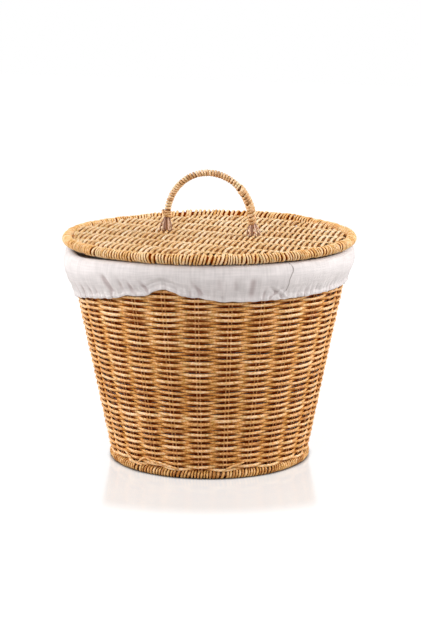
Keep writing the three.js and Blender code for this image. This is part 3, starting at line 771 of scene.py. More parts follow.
WIRE_R = (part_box("handle_wire")[1].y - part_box("handle_wire")[0].y) / 2
ARCH_R = (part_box("handle_wire")[1].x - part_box("handle_wire")[0].x) / 2 - WIRE_R
SPRING_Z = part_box("handle_wire")[1].z - WIRE_R - ARCH_R
LID_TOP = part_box("lid_weave")[1].z
CLEAR = 0.3 * MM
HITCH_R = 5.6 * MM
HITCH_ANGLE = math.radians(30)
HITCH_OUT = 1.3 * MM
HITCH_STRAND = 2.7 * MM
FRONT = math.radians(24)  # the lashings face this way, from the -Y axis towards +X


def arch_line(start, end):
    """The handle's arch between two angles up it, for a share of its length. Out points to the
    arch's inside, where a turn begins."""

    def line(share):
        angle = start + (end - start) * share
        cos, sin, flat = np.cos(angle), np.sin(angle), np.zeros_like(angle)
        centre = np.stack([ARCH_R * cos, flat, SPRING_Z + ARCH_R * sin], -1)
        out = np.stack([-cos, flat, -sin], -1)
        beside = np.stack([flat, flat + 1, flat], -1)
        along = np.stack([-sin, flat, cos], -1) * math.copysign(1, end - start)
        return centre, out, beside, along

    return line


def wind_arch(context, name, node, start, end, thickness, pitch, lean, seed, cover=0.42):
    """Winds a strand round part of the handle. Half the strand's width is cover times the pitch."""
    rng = np.random.default_rng(seed)
    turns = round(abs(end - start) * ARCH_R / pitch)
    places = turn_places(turns, 40, 0.1, rng)
    reach = WIRE_R + CLEAR + thickness / 2
    points, faces, values = wind(
        arch_line(start, end), turns, 20, lambda share: reach, cover * pitch, thickness / 2, lean, rng,
        places, False, 0.5,
    )
    values["dip"] *= 0.72  # less painted shade in its grooves
    skin = handle_cane(context, name.replace("_", " "))
    put_mesh(name, "lid", (points, faces, values), skin, [node])


# Turns of the hitch: radius and how far they hang outwards and lie up the handle, in metres, lean
# in radians, and thickness as a share of the hitch strand's
HITCH_TURNS = (
    (HITCH_R, HITCH_OUT, 0.0, HITCH_ANGLE, 1.0),
    (3.7 * MM, 0.0, -2.9 * MM, 0.15, 0.9),
    (3.7 * MM, 0.0, -0.3 * MM, -0.10, 0.95),
    (3.7 * MM, 0.0, 2.4 * MM, 0.12, 0.95),
)


def hitch_turn():
    """The knot at the left foot: turns round the handle. Each is a ring whose plane leans, and the
    outer one hangs outwards."""
    length = 2 * HITCH_R * math.sin(HITCH_ANGLE) + HITCH_STRAND
    angle = math.pi - length / ARCH_R / 2
    out = np.array([math.cos(angle), 0, math.sin(angle)])
    along = np.array([math.sin(angle), 0, -math.cos(angle)])
    middle = np.array([0, 0, SPRING_Z]) + out * ARCH_R
    radius, hang, rise, tilt, share = np.array(HITCH_TURNS).T[:, :, None, None]
    lean = out * np.cos(tilt) + along * np.sin(tilt)
    psi = np.arange(40) * TAU / 40
    radial = lean * np.cos(psi)[:, None] + np.array([0, 1, 0]) * np.sin(psi)[:, None]
    level = np.broadcast_to(np.cross(lean, [0, 1, 0]), radial.shape)
    half = np.broadcast_to(HITCH_STRAND / 2 * share[..., 0], radial.shape[:2])
    centre = middle + out * hang + along * rise + radius * radial
    points, faces = sweep(centre, level, radial, half, half, 8, True)
    return points, faces, length / ARCH_R


class BASKET_OT_bind_handle(bpy.types.Operator):
    """Wind the handle with cane"""

    bl_idname = "basket.bind_handle"
    bl_label = "Bind handle"

    def execute(self, context):
        h = context.scene.basket_handle
        points, faces, length = hitch_turn()
        # dip: depth for the painted shade in the hitch's grooves
        values = {"tone": np.full(len(points), 0.2), "dip": np.tile(groove(0.60), len(points) // 8)}
        put_mesh("handle_hitch_turn", "lid", (points, faces, values),
                 handle_cane(context, "handle hitch"), ["handle_hitch"])
        middle = (math.pi + h.splice_start) / 2
        rest = 0.05 * h.pitch / ARCH_R
        wind_arch(context, "handle_winding_left", "handle_binding_left", math.pi - length - rest,
                  middle + rest, h.strand, h.pitch, -0.5 * MM, 41)
        wind_arch(context, "handle_winding_top", "handle_binding_top", middle - rest,
                  h.splice_start + rest, h.strand, h.pitch, -0.5 * MM, 46)
        wind_arch(context, "handle_splice_turns", "handle_splice", h.splice_start - rest, 0.0, h.splice,
                  h.splice_pitch, -2.6 * MM, 43, cover=0.45)
        return {"FINISHED"}


# Feet of the lashing strands, to the right of the leg and in front of it in millimetres, and their
# tones
LASHING_FEET = {
    "left": (
        (-8.6, 0.5, 0.15), (-5.4, 3.2, 0.7), (-2.2, 3.8, 0.1), (1.6, 3.8, 1.0), (4.8, 1.8, 0.2),
        (2.4, -4.6, 0.2), (-3.6, -4.4, 0.2),
    ),
    "right": (
        (-6.2, 1.6, 0.3), (-3.0, 4.4, 0.8), (-0.4, 4.6, 0.1), (3.8, 5.0, 0.9), (6.6, 3.2, 0.2),
        (9.0, 0.0, 0.9), (4.0, -4.6, 0.2), (-3.0, -4.6, 0.3),
    ),
}
LASHING_STEPS = 14


def lashing_strands(thickness, side, feet, rng):
    """Strands that hang from the leg to the panel like narrow loops: each follows a bent curve from
    its hold on the leg to its foot, given by cubic Bezier points, and then dips into the panel."""
    right = np.array([math.cos(FRONT), math.sin(FRONT)])
    ahead = np.array([math.sin(FRONT), -math.cos(FRONT)])
    foot = MM * (feet[:, :1] * right + feet[:, 1:2] * ahead)
    count = len(feet)
    hold_r = WIRE_R + CLEAR + thickness / 2
    start = np.concatenate([hold_r * unit(foot), np.full((count, 1), SPRING_Z - 0.2 * MM)], 1)
    end = np.concatenate([foot, np.full((count, 1), LID_TOP - 1.5 * MM)], 1)
    out = 1.12 + 0.1 * rng.uniform(-1, 1, (count, 1))
    first = np.concatenate([0.75 * start[:, :2] + 0.25 * foot, 0.72 * start[:, 2:] + 0.28 * end[:, 2:]], 1)
    second = np.concatenate([out * foot, 0.42 * start[:, 2:] + 0.58 * end[:, 2:]], 1)
    t = np.linspace(0, 1, LASHING_STEPS)[None, :, None]
    a, b, c, d = (p[:, None] for p in (start, first, second, end))
    path = (1 - t) ** 3 * a + 3 * t * (1 - t) ** 2 * b + 3 * t**2 * (1 - t) * c + t**3 * d
    path = path + np.array([side * ARCH_R, 0, 0])
    course = unit(np.gradient(path, axis=1))
    beside = unit(np.cross(course, np.broadcast_to([*ahead, 0.0], course.shape)))
    up = np.cross(beside, course)
    half = np.full(path.shape[:2], thickness / 2) * rng.uniform(0.85, 1.1, (count, 1))
    return sweep(path, beside, up, half, half * 0.8, 8, False)


class BASKET_OT_lash_handle(bpy.types.Operator):
    """Lash the handle's feet to the lid"""

    bl_idname = "basket.lash_handle"
    bl_label = "Lash handle"

    def execute(self, context):
        thickness = context.scene.basket_handle.lashing
        share = np.linspace(0, 1, LASHING_STEPS)
        # painted shade at both ends, where the strands leave the leg and go into the panel
        ends = np.clip(1 - share / 0.3, 0, 1) + np.clip((share - 0.82) / 0.18, 0, 1)
        for name, side, seed in (("left", -1, 51), ("right", 1, 52)):
            feet = np.array(LASHING_FEET[name])
            points, faces = lashing_strands(thickness, side, feet, np.random.default_rng(seed))
            values = {"tone": np.repeat(feet[:, 2], len(points) // len(feet)),
                      "dip": np.tile(every_corner(ends, 8), len(feet))}
            put_mesh(f"lashing_{name}_strands", "lid", (points, faces, values),
                     lashing_finish(context), [f"lashing_{name}"])
        return {"FINISHED"}


# Liner


def smooth_through(points, steps):
    """A curve through points along the first axis: between two points it is the cubic whose slopes
    are those of their neighbours."""
    before = np.concatenate([2 * points[:1] - points[1:2], points[:-1]])
    after = np.concatenate([points[1:], 2 * points[-1:] - points[-2:-1]])
    slope = (after - before) / 2
    t = (np.arange(steps) / steps).reshape(1, -1, *[1] * (points.ndim - 1))
    p, q = points[:-1, None], points[1:, None]
    m, n = slope[:-1, None], slope[1:, None]
    curve = (
        (2 * t**3 - 3 * t**2 + 1) * p + (t**3 - 2 * t**2 + t) * m + (3 * t**2 - 2 * t**3) * q
        + (t**3 - t**2) * n
    )
    return np.concatenate([curve.reshape(-1, *points.shape[1:]), points[-1:]])


# Folds of the cuff: direction in degrees and height in millimetres where each one begins and ends,
# its width and its depth in millimetres. A fold is a valley with a ridge on its right.
CUFF_FOLDS = (
    (248.8, 254, 253.2, 227, 4.2, 3.2),
    (250.6, 229, 252.9, 217, 3.0, 2.2),
    (246.4, 228, 248.6, 215, 3.2, 1.9),
    (242.5, 234, 244.4, 212, 3.6, 1.8),
    (237.5, 238, 239.2, 210, 3.6, 1.6),
    (232.0, 236, 234.2, 208, 3.6, 1.7),
    (225.5, 238, 227.2, 206, 3.6, 1.7),
    (217.0, 236, 218.0, 204, 4.0, 1.6),
    (257.0, 250, 259.0, 226, 3.0, 1.8),
    (260.9, 247, 263.6, 227, 3.2, 2.6),
    (263.9, 241, 266.0, 230, 2.8, 2.2),
    (267.0, 247, 269.6, 232, 3.2, 2.4),
    (287.0, 252, 292.0, 230, 3.6, 1.8),
    (297.0, 262, 298.6, 236, 4.6, 1.0),
    (303.4, 256, 304.2, 236, 4.2, 1.3),
    (310.9, 262, 310.4, 228, 4.4, 1.9),
    (315.5, 240, 316.4, 227, 2.8, 1.3),
    (317.2, 241, 324.4, 224, 2.6, 2.2),
    (323.6, 239, 318.1, 225, 2.6, 2.2),
    (330.0, 232, 331.0, 222, 3.0, 0.8),
    (341.2, 236, 342.0, 222, 3.4, 0.8),
    (352.0, 240, 352.6, 220, 3.8, 1.0),
)
PUCKER_ARCH = (276.5, 8.0)  # middle and width in degrees of the arched creases over the hitched hem


def folds_at(direction, height, low, high, rng):
    """How far the cuff stands out, in metres, at each direction and height, between its hem and its
    rim. Each fold is a valley beside a ridge, both bell-shaped across and fading in at the top, and
    random folds are scattered over the sides and the back."""
    degrees = np.degrees(direction) % 360
    share = (height - low) / (high - low)
    scattered = [
        (at, 228 + rng.uniform(0, 22), at + rng.uniform(-4, 4), 206 + rng.uniform(0, 10),
         rng.uniform(2.2, 4.2), rng.uniform(0.8, 2.0))
        for at in np.arange(2, 220, 5.2) + rng.uniform(-2, 2, 42)
    ]
    total = np.zeros(np.broadcast(direction, height).shape)
    for start, top, end, bottom, width, depth in (*CUFF_FOLDS, *scattered):
        along = np.clip((top * MM - height) / ((top - bottom) * MM), -0.1, 1.1)
        away = (degrees - start - (end - start) * along + 180) % 360 - 180
        away = np.radians(away) * CUFF_R / (1.4 * width * MM)
        grow = np.clip((along + 0.05) / 0.5, 0, 1) * np.clip((1.15 - along) / 0.3, 0, 1)
        total += 0.75 * depth * MM * grow * (0.7 * np.exp(-((away - 1.5) ** 2)) - np.exp(-(away**2)))
    middle, spread = PUCKER_ARCH
    near = np.exp(-(((degrees - middle) / spread) ** 2))
    up = (height - low) / MM
    crease = 0.9 * np.exp(-(((up - 15) / 2.6) ** 2)) - 1.1 * np.exp(-(((up - 11) / 1.9) ** 2))
    total += 0.6 * MM * near * (crease + 0.7 * np.exp(-(((up - 8) / 1.8) ** 2)))
    return total * np.clip((0.92 - share) / 0.25, 0, 1)


def grid_faces(rows, columns):
    """Quads of a grid whose columns close on themselves."""
    row = np.arange(rows - 1)[:, None] * columns
    k = np.arange(columns)
    after = (k + 1) % columns
    return np.stack([row + k, row + after, row + columns + after, row + columns + k], -1).reshape(-1, 4)


def thick_grid(middle, thickness):
    """A sheet of even thickness about a grid of points that closes round. Its two faces lie half
    the thickness along the normals, and its two edges are closed."""
    rows, columns = middle.shape[:2]
    down = np.gradient(middle, axis=0)
    round_it = np.roll(middle, -1, 1) - np.roll(middle, 1, 1)
    normal = unit(np.cross(round_it, down))
    sign = math.copysign(1, np.sum(normal[rows // 2, :, :2] * middle[rows // 2, :, :2]))
    normal = normal * sign
    points = np.concatenate([middle + normal * thickness / 2, middle - normal * thickness / 2])
    quads = grid_faces(rows, columns)
    k = np.arange(columns)
    after = (k + 1) % columns
    inner, last = rows * columns, (rows - 1) * columns
    top = np.stack([k + inner, after + inner, after, k], -1)
    bottom = np.stack([after, after + inner, k + inner, k], -1) + last
    faces = [quads, quads[:, ::-1] + inner, top, bottom]
    if sign > 0:
        faces = [f[:, ::-1] for f in faces]
    return points.reshape(-1, 3), faces


def cloth_lengths(middle):
    """Lengths in metres round and down a grid of cloth, for its thread pattern."""
    columns = middle.shape[1]
    radius = np.hypot(middle[..., 0], middle[..., 1]).mean()
    round_it = np.broadcast_to(np.arange(columns) * TAU * radius / columns, middle.shape[:2])
    steps = np.linalg.norm(np.diff(middle, axis=0), axis=-1).mean(1)
    down = np.broadcast_to(np.concatenate([[0], np.cumsum(steps)])[:, None], middle.shape[:2])
    return round_it, down


def hung(stations, direction, steps):
    """A smooth profile through stations of radius and height, at each direction, and the place of
    each of its points, counted in stations."""
    rows = [np.stack(np.broadcast_arrays(r, z, direction)[:2], -1) for r, z in stations]
    curve = smooth_through(np.array(rows), steps)
    return curve, np.linspace(0, len(stations) - 1, len(curve))[:, None]


ELASTIC_OUT = 6.4 * MM  # from the middle of the wall to the cloth over the elastic
BELLY_IN = 2.6 * MM  # from the widest place of the solid cuff to that of the smooth cloth
CUFF_COLUMNS = 1440  # directions round the cuff


def cuff_middle(context):
    """The cuff's middle surface on a grid of hang and direction: over the rim, out, down, and in
    under the elastic at the hem, with its folds added along the radius. The second result is how
    deep each point lies in a fold, from 0 to 1, by which the linen paints shade in the folds."""
    c = context.scene.basket_liner
    rng = np.random.default_rng(c.seed)
    direction = np.arange(CUFF_COLUMNS) * TAU / CUFF_COLUMNS
    rim_r, rim_z = RIM_R(direction), RIM_Z(direction)
    hem = HEM_Z(direction) + 0.35 * MM * np.sin(67 * direction + 2 * np.sin(9 * direction))
    elastic = wall_radius(hem) + ELASTIC_OUT
    belly = CUFF_R - BELLY_IN

    def over(degrees):
        turn = math.radians(degrees)
        return rim_r + c.over * math.cos(turn), rim_z + c.over * math.sin(turn)

    def hang(share):
        return rim_z + (hem + c.band - rim_z) * share

    def drawn_in(share):
        return belly + (elastic - belly) * share

    stations = [
        over(180), over(150), over(125), over(98), over(72), over(46), over(20),
        (drawn_in(0), hang(0.18)),
        (drawn_in(0.06), hang(0.38)),
        (drawn_in(0.30), hang(0.60)),
        (drawn_in(0.64), hang(0.81)),
        (drawn_in(0.93), hem + c.band),
        (elastic + 0.3 * MM, hem + 2.4 * MM),
        (elastic - 0.4 * MM, hem + 0.4 * MM),
        (elastic - 1.8 * MM, hem + 0.9 * MM),
    ]
    curve, place = hung(stations, direction, 8)
    closing = np.clip((place - 11) / 3, 0, 1)
    outside = np.clip((place - 6.2) / 0.8, 0, 1)
    folds = folds_at(direction[None], curve[..., 1], hem, rim_z, rng) * (1 - 0.7 * closing)
    gathers = waves_round(1, direction, 70, 150, rng)
    gathered = c.gather * gathers * np.clip((place - 9.5) / 2, 0, 1) * (1 - 0.8 * closing)
    ripple = waves_round(1, direction, 3, 14, rng) * np.sin(math.pi * np.clip((place - 7) / 5, 0, 1))
    r = curve[..., 0] + (outside * (folds + 0.5 * MM * ripple) + gathered)
    r = np.where((place > 6) & (place < 12.2), np.maximum(r, elastic + 0.1 * MM), r)
    r = np.minimum(r, CUFF_R + 0.8 * MM)
    # how deep in a fold, where the linen paints shade
    crease = np.clip(-(folds + gathered) / c.fold, 0, 1) * outside
    return around(r, direction, curve[..., 1]), crease


BAG_IN = 4.9 * MM  # from the middle of the wall to the bag
BAG_COLUMNS = 360  # directions round the bag


def bag_middle(context):
    """The bag's middle surface on a grid: down the inside of the wall, round its bottom corner and
    across the base, with soft pleats that lean inwards from the wall."""
    c = context.scene.basket_liner
    rng = np.random.default_rng(c.seed + 1)
    direction = np.arange(BAG_COLUMNS) * TAU / BAG_COLUMNS
    rim_r, rim_z = RIM_R(direction), RIM_Z(direction)
    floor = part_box("liner_bag")[0].z + c.cloth / 2 + 0.1 * MM

    inner = BAG_IN + c.cloth / 2

    def wall(z):
        return wall_radius(z) - inner

    def down(share):
        return rim_z + (floor - rim_z) * share

    stations = [(rim_r - c.over, rim_z)]
    stations += [(wall(down(s)), down(s)) for s in (0.08, 0.2, 0.35, 0.5, 0.65, 0.8, 0.9, 0.955)]
    corner = wall(floor)
    stations += [
        (corner - 4 * MM, down(0.99)),
        (corner - 11 * MM, down(1.0)),
        (corner * 0.7, down(1.0)),
        (corner * 0.35, down(1.0)),
        (0.4 * MM, down(1.0)),
    ]
    curve, place = hung(stations, direction, 7)
    pleats = np.maximum(waves_round(1, direction, 6, 26, rng), 0)
    drift = np.maximum(waves_round(1, direction, 9, 30, rng), 0)
    upright = np.clip(place / 1.5, 0, 1) * np.clip((9.5 - place) / 2, 0, 1)
    mix = np.clip((place - 2) / 7, 0, 1)
    inward = 1.7 * MM * upright * (pleats * (1 - mix) + drift * mix)
    wrinkle = waves_round(1, direction, 4, 12, rng) * np.clip((place - 9) / 1.5, 0, 1)
    rise = 1.1 * MM * np.abs(wrinkle) * np.clip((13 - place) / 2.5, 0, 1)
    middle = around(curve[..., 0] - inward, direction, curve[..., 1] + rise)
    return middle, np.zeros(middle.shape[:2])


# Points of the loose thread on the cuff: direction in degrees and height in millimetres
THREAD = (
    (325.2, 267.3), (326.5, 262.5), (326.9, 257.5), (325.9, 252.0), (325.2, 246.0), (325.3, 241.0),
    (324.6, 233.5),
)
THREAD_THICK = 0.55 * MM


def thread_on(middle, thickness):
    """A thin strand that lies on the cuff: its path goes smoothly through the points of the thread,
    each at the radius that the cloth's face has at that direction and height."""
    rows, columns = middle.shape[:2]
    path = smooth_through(np.array(THREAD), 6)
    direction, height = np.radians(path[:, 0]), path[:, 1] * MM
    column = np.round(direction / TAU * columns).astype(int) % columns
    outside = middle[rows // 3:, column]
    radius = np.hypot(outside[..., 0], outside[..., 1])
    r = np.array([np.interp(-z, -outside[:, k, 2], radius[:, k]) for k, z in enumerate(height)])
    r = r + thickness / 2 + THREAD_THICK / 2
    return laid_strand(r, direction, height, np.full(len(r), THREAD_THICK / 2), 1.0, 6)


def hang_cloth(context, node, middle, crease):
    """Makes a cloth of even thickness about a grid. It carries its lengths and its creases, by
    which the finish paints shade in the folds."""
    points, faces = thick_grid(middle, context.scene.basket_liner.cloth)
    warp, weft = cloth_lengths(middle)
    values = {"warp": warp, "weft": weft, "crease": crease}
    values = {key: np.tile(value.ravel(), 2) for key, value in values.items()}
    return put_mesh(node + "_cloth", "basket", (points, faces, values), linen(context), [node])


class BASKET_OT_sew_liner(bpy.types.Operator):
    """Hang the cloth liner: the cuff over the rim and the bag inside"""

    bl_idname = "basket.sew_liner"
    bl_label = "Sew liner"

    def execute(self, context):
        middle, crease = cuff_middle(context)
        cuff = hang_cloth(context, "liner_cuff", middle, crease)
        points, faces = thread_on(middle, context.scene.basket_liner.cloth)
        put_mesh("cuff_thread", "basket", (points, faces, {}), thread_finish())
        bag = hang_cloth(context, "liner_bag", *bag_middle(context))
        return {"FINISHED"}


# Finishes


def new_group(name, inputs, outputs):
    """An empty shader node group with the named sockets, and its input and output nodes."""
    tree = bpy.data.node_groups.new(name, "ShaderNodeTree")
    for label, kind, default in inputs:
        socket = tree.interface.new_socket(label, in_out="INPUT", socket_type=kind)
        socket.default_value = default
    for label, kind in outputs:
        tree.interface.new_socket(label, in_out="OUTPUT", socket_type=kind)
    return tree, tree.nodes.new("NodeGroupInput"), tree.nodes.new("NodeGroupOutput")


def link(tree, made, sockets):
    """Links sockets to a node's inputs, which are given by name or place."""
    for key, source in sockets.items():
        tree.links.new(source, made.inputs[key])


def node(tree, kind, links=None, **values):
    """Adds a node, sets its named properties and inputs, and links its inputs to sockets."""
    made = tree.nodes.new(kind)
    for key, value in values.items():
        if key in made.inputs:
            made.inputs[key].default_value = value
        else:
            setattr(made, key, value)
    link(tree, made, links or {})
    return made


def arithmetic(tree, operation, first, *others):
    """Math nodes that work through sockets and numbers from left to right."""
    for other in others or (0.0,):
        made = node(tree, "ShaderNodeMath", operation=operation)
        for place, value in enumerate((first, other)):
            if isinstance(value, (int, float)):
                made.inputs[place].default_value = value
            else:
                tree.links.new(value, made.inputs[place])
        first = made.outputs[0]
    return first


def plus(tree, *values):
    """The sum of sockets and numbers."""
    return arithmetic(tree, "ADD", *values)


def times(tree, *values):
    """The product of sockets and numbers."""
    return arithmetic(tree, "MULTIPLY", *values)


def either_way(tree, pattern, size):
    """A pattern about 0.5, made to go this far either way from 0."""
    return times(tree, arithmetic(tree, "SUBTRACT", pattern, 0.5), size)


def blend_colours(tree, factor, a, b, kind="MIX"):
    """A Mix node for colours. Each of the three may be a socket or a value."""
    made = node(tree, "ShaderNodeMix", data_type="RGBA", blend_type=kind)
    for place, value in ((0, factor), (6, a), (7, b)):
        if isinstance(value, bpy.types.NodeSocket):
            tree.links.new(value, made.inputs[place])
        else:
            made.inputs[place].default_value = value
    return made.outputs[2]


def mask(tree, value, low, high, kind="SMOOTHSTEP"):
    """A mask that rises from 0 to 1 while the value goes from low to high."""
    made = node(tree, "ShaderNodeMapRange", {"Value": value}, interpolation_type=kind)
    made.inputs["From Min"].default_value = low
    made.inputs["From Max"].default_value = high
    return made.outputs[0]


def object_place(tree):
    """The place of a point on its piece, in metres."""
    return node(tree, "ShaderNodeTexCoord").outputs["Object"]


def carried(tree, name):
    """A value that the piece carries at its corners."""
    return node(tree, "ShaderNodeAttribute", attribute_name=name).outputs["Fac"]


def noise(tree, place, scale, detail):
    """A noise with this many cells in a metre."""
    return node(tree, "ShaderNodeTexNoise", {"Vector": place}, Scale=scale, Detail=detail).outputs["Fac"]


# What the cane's colour is multiplied by: real olive patches, and shade painted by depth
OLIVE = (0.84, 0.88, 0.78, 1)  # in patches of the skin
PAINTED_FLANK_SHADE = (0.92, 0.78, 0.55, 1)  # painted shade on the flanks of a strand, warmer and darker
PAINTED_GAP_SHADE = (0.33, 0.09, 0.008, 1)  # painted shade in the gaps between strands and behind the stakes


def cane_group():
    """Colour, roughness, height and gloss of cane. The tone of each strand, patches along it and
    fine fibres choose a colour from deep through warm to pale. Shade is painted by depth: the flanks
    of a strand are warmer and darker, and what lies behind the stakes is painted dark and is duller."""
    if "Cane" in bpy.data.node_groups:
        return bpy.data.node_groups["Cane"]
    tree, given, out = new_group(
        "Cane",
        [
            ("Deep", "NodeSocketColor", (0, 0, 0, 1)),
            ("Warm", "NodeSocketColor", (0, 0, 0, 1)),
            ("Pale", "NodeSocketColor", (0, 0, 0, 1)),
            ("Stretch", "NodeSocketVector", (1, 1, 1)),
            ("Turn", "NodeSocketFloat", 0.0),
            ("Bright", "NodeSocketFloat", 0.0),
        ],
        [
            ("Color", "NodeSocketColor"), ("Roughness", "NodeSocketFloat"), ("Height", "NodeSocketFloat"),
            ("Gloss", "NodeSocketFloat"),
        ],
    )
    given = given.outputs
    place = object_place(tree)
    turned = node(tree, "ShaderNodeVectorRotate", {"Vector": place, "Angle": given["Turn"]},
                  rotation_type="Z_AXIS", invert=True).outputs[0]
    laid = node(tree, "ShaderNodeVectorMath", {0: turned, 1: given["Stretch"]}, operation="MULTIPLY")
    laid = laid.outputs[0]
    dip = carried(tree, "dip")
    streaks = noise(tree, laid, 520.0, 3.0)
    fibres = noise(tree, laid, 2600.0, 2.0)
    level = plus(
        tree, times(tree, carried(tree, "tone"), 0.62), 0.19,
        either_way(tree, noise(tree, place, 38.0, 2.0), 0.8), either_way(tree, streaks, 1.8),
        either_way(tree, fibres, 0.9), times(tree, given["Bright"], 0.5),
    )
    colour = blend_colours(tree, mask(tree, level, 0.0, 0.5, "LINEAR"), given["Deep"], given["Warm"])
    colour = blend_colours(tree, mask(tree, level, 0.5, 1.0, "LINEAR"), colour, given["Pale"])
    olive = mask(tree, noise(tree, place, 210.0, 2.0), 0.42, 0.66)
    # shade painted by depth: warmer, darker flanks and dark gaps behind the stakes
    flank_shade, gap = mask(tree, dip, 0.15, 0.6), mask(tree, dip, 0.36, 0.72)
    for where, shade in ((olive, OLIVE), (flank_shade, PAINTED_FLANK_SHADE), (gap, PAINTED_GAP_SHADE)):
        colour = blend_colours(tree, where, colour, shade, "MULTIPLY")
    gloss = arithmetic(tree, "SUBTRACT", 1.0, mask(tree, dip, 0.05, 0.3))
    link(tree, out, {
        "Color": colour,
        "Roughness": plus(tree, times(tree, streaks, 0.25), 0.34),
        "Height": plus(tree, times(tree, fibres, 0.6), streaks),
        "Gloss": times(tree, gloss, 0.6),
    })
    return tree


def plain_material(name, colour=(0.5, 0.5, 0.5), **values):
    """A material with a Principled BSDF, with its node tree and that node. Values of inputs are
    given by name, with _ for a space."""
    material = bpy.data.materials.new(name)
    material.use_nodes = True
    bsdf = material.node_tree.nodes["Principled BSDF"]
    bsdf.inputs["Base Color"].default_value = (*colour, 1)
    for key, value in values.items():
        bsdf.inputs[key.replace("_", " ")].default_value = value
    return material, material.node_tree, bsdf


def dress(tree, bsdf, colour, height, depth):
    """Links a colour, and a height through a Bump node of a depth in metres."""
    bump = node(tree, "ShaderNodeBump", {"Height": height}, Strength=1.0, Distance=depth)
    link(tree, bsdf, {"Base Color": colour, "Normal": bump.outputs["Normal"]})


def cane(context, name, stretch, turn=0.0, bright=0.0, tint=(1, 1, 1), dull=0.0):
    """Natural cane with a satin skin, its fibres along the strand. Dull is how far the palest cane
    goes towards the usual colour."""
    colours = context.scene.basket_colours
    palest = [p + dull * (q - p) for p, q in zip(colours.pale, colours.warm)]
    material, tree, bsdf = plain_material(name, Roughness=0.5, Coat_Roughness=0.28, Specular_IOR_Level=0.0)
    made = node(tree, "ShaderNodeGroup", node_tree=cane_group(), Stretch=stretch, Turn=turn, Bright=bright)
    for key, colour in (("Deep", colours.deep), ("Warm", colours.warm), ("Pale", palest)):
        made.inputs[key].default_value = (*(t * v for t, v in zip(tint, colour)), 1)
    link(tree, bsdf, {"Roughness": made.outputs["Roughness"], "Coat Weight": made.outputs["Gloss"]})
    dress(tree, bsdf, made.outputs["Color"], made.outputs["Height"], 0.15 * MM)
    return material


# Darkest, usual and palest cane of the handle
HANDLE_CANE = {"Deep": (0.30, 0.14, 0.06, 1), "Warm": (0.66, 0.37, 0.17, 1), "Pale": (0.86, 0.64, 0.42, 1)}


def handle_cane(context, name):
    """The handle's cane, browner and less orange than the rest."""
    made = cane(context, name, stretch=(0.6, 0.6, 0.6), bright=0.35)
    group = next(n for n in made.node_tree.nodes if n.bl_idname == "ShaderNodeGroup")
    for key, colour in HANDLE_CANE.items():
        group.inputs[key].default_value = colour
    return made


def lashing_finish(context):
    """Thin reddish cane, dull, with darker streaks, and shade painted at its ends by dip."""
    material, tree, bsdf = plain_material("Lashing cane", Roughness=0.6)
    streaks = noise(tree, object_place(tree), 900.0, 3.0)
    level = arithmetic(tree, "SUBTRACT", plus(tree, carried(tree, "tone"), times(tree, streaks, 0.4)), 0.2)
    dark = (*context.scene.basket_colours.lashing, 1)
    colour = blend_colours(tree, level, dark, (0.74, 0.50, 0.38, 1))
    # painted shade at the strands' ends
    colour = blend_colours(tree, carried(tree, "dip"), colour, (0.36, 0.20, 0.13, 1), "MULTIPLY")
    dress(tree, bsdf, colour, streaks, 0.1 * MM)
    return material


LINEN_PITCH = 0.75 * MM  # length of a wave of the threads


def linen(context):
    """Off-white plain weave: warp and weft threads as two crossing waves, with slubs where a noise
    thickens a thread, and a little variation of tone. Shade is painted in the valleys of the folds."""
    if "Linen" in bpy.data.materials:
        return bpy.data.materials["Linen"]
    colour = context.scene.basket_colours.linen
    material, tree, bsdf = plain_material("Linen", Roughness=0.92, Specular_IOR_Level=0.2, Sheen_Weight=0.12)
    warp, weft = carried(tree, "warp"), carried(tree, "weft")
    lines = node(tree, "ShaderNodeCombineXYZ", {"X": warp, "Y": times(tree, weft, 0.08)})
    rows = node(tree, "ShaderNodeCombineXYZ", {"X": times(tree, warp, 0.06), "Y": weft})
    slubs = plus(tree, noise(tree, lines.outputs[0], 420.0, 3.0), noise(tree, rows.outputs[0], 480.0, 3.0))
    waves = [arithmetic(tree, "SINE", times(tree, run, TAU / LINEN_PITCH)) for run in (warp, weft)]
    level = times(tree, plus(tree, slubs, noise(tree, object_place(tree), 60.0, 4.0)), 0.33)
    darker = (*(0.83 * v for v in colour), 1)
    cloth = blend_colours(tree, mask(tree, level, 0.40, 0.60, "LINEAR"), darker, (*colour, 1))
    # painted shade in the fold valleys, by crease
    shade = times(tree, mask(tree, carried(tree, "crease"), 0.1, 1.1), 0.8)
    cloth = blend_colours(tree, shade, cloth, (0.62, 0.55, 0.55, 1), "MULTIPLY")
    dress(tree, bsdf, cloth, plus(tree, times(tree, *waves, 0.35), slubs), 0.16 * MM)
    return material


def thread_finish():
    """Grey twisted thread: its two plies as dark and pale bands."""
    material, tree, bsdf = plain_material("Thread", Roughness=0.9)
    plies = noise(tree, object_place(tree), 1500.0, 1.0)
    colour = blend_colours(tree, plies, (0.16, 0.13, 0.12, 1), (0.46, 0.41, 0.39, 1))
    dress(tree, bsdf, colour, plies, 0.1 * MM)
    return material


def wire_finish(name, colour, rough):
    """Drawn wire: even colour with fine scratches and a few dull patches."""
    material, tree, bsdf = plain_material(name, colour, Roughness=rough, Specular_IOR_Level=0.0)
    place = object_place(tree)
    fine = noise(tree, place, 900.0, 3.0)
    mix = times(tree, plus(tree, fine, noise(tree, place, 45.0, 2.0)), 0.5)
    darker = (*(0.55 * v for v in colour), 1)
    dress(tree, bsdf, blend_colours(tree, mix, darker, (*colour, 1)), fine, 0.05 * MM)
    link(tree, bsdf, {"Roughness": plus(tree, times(tree, fine, 0.3), rough - 0.15)})
    return material


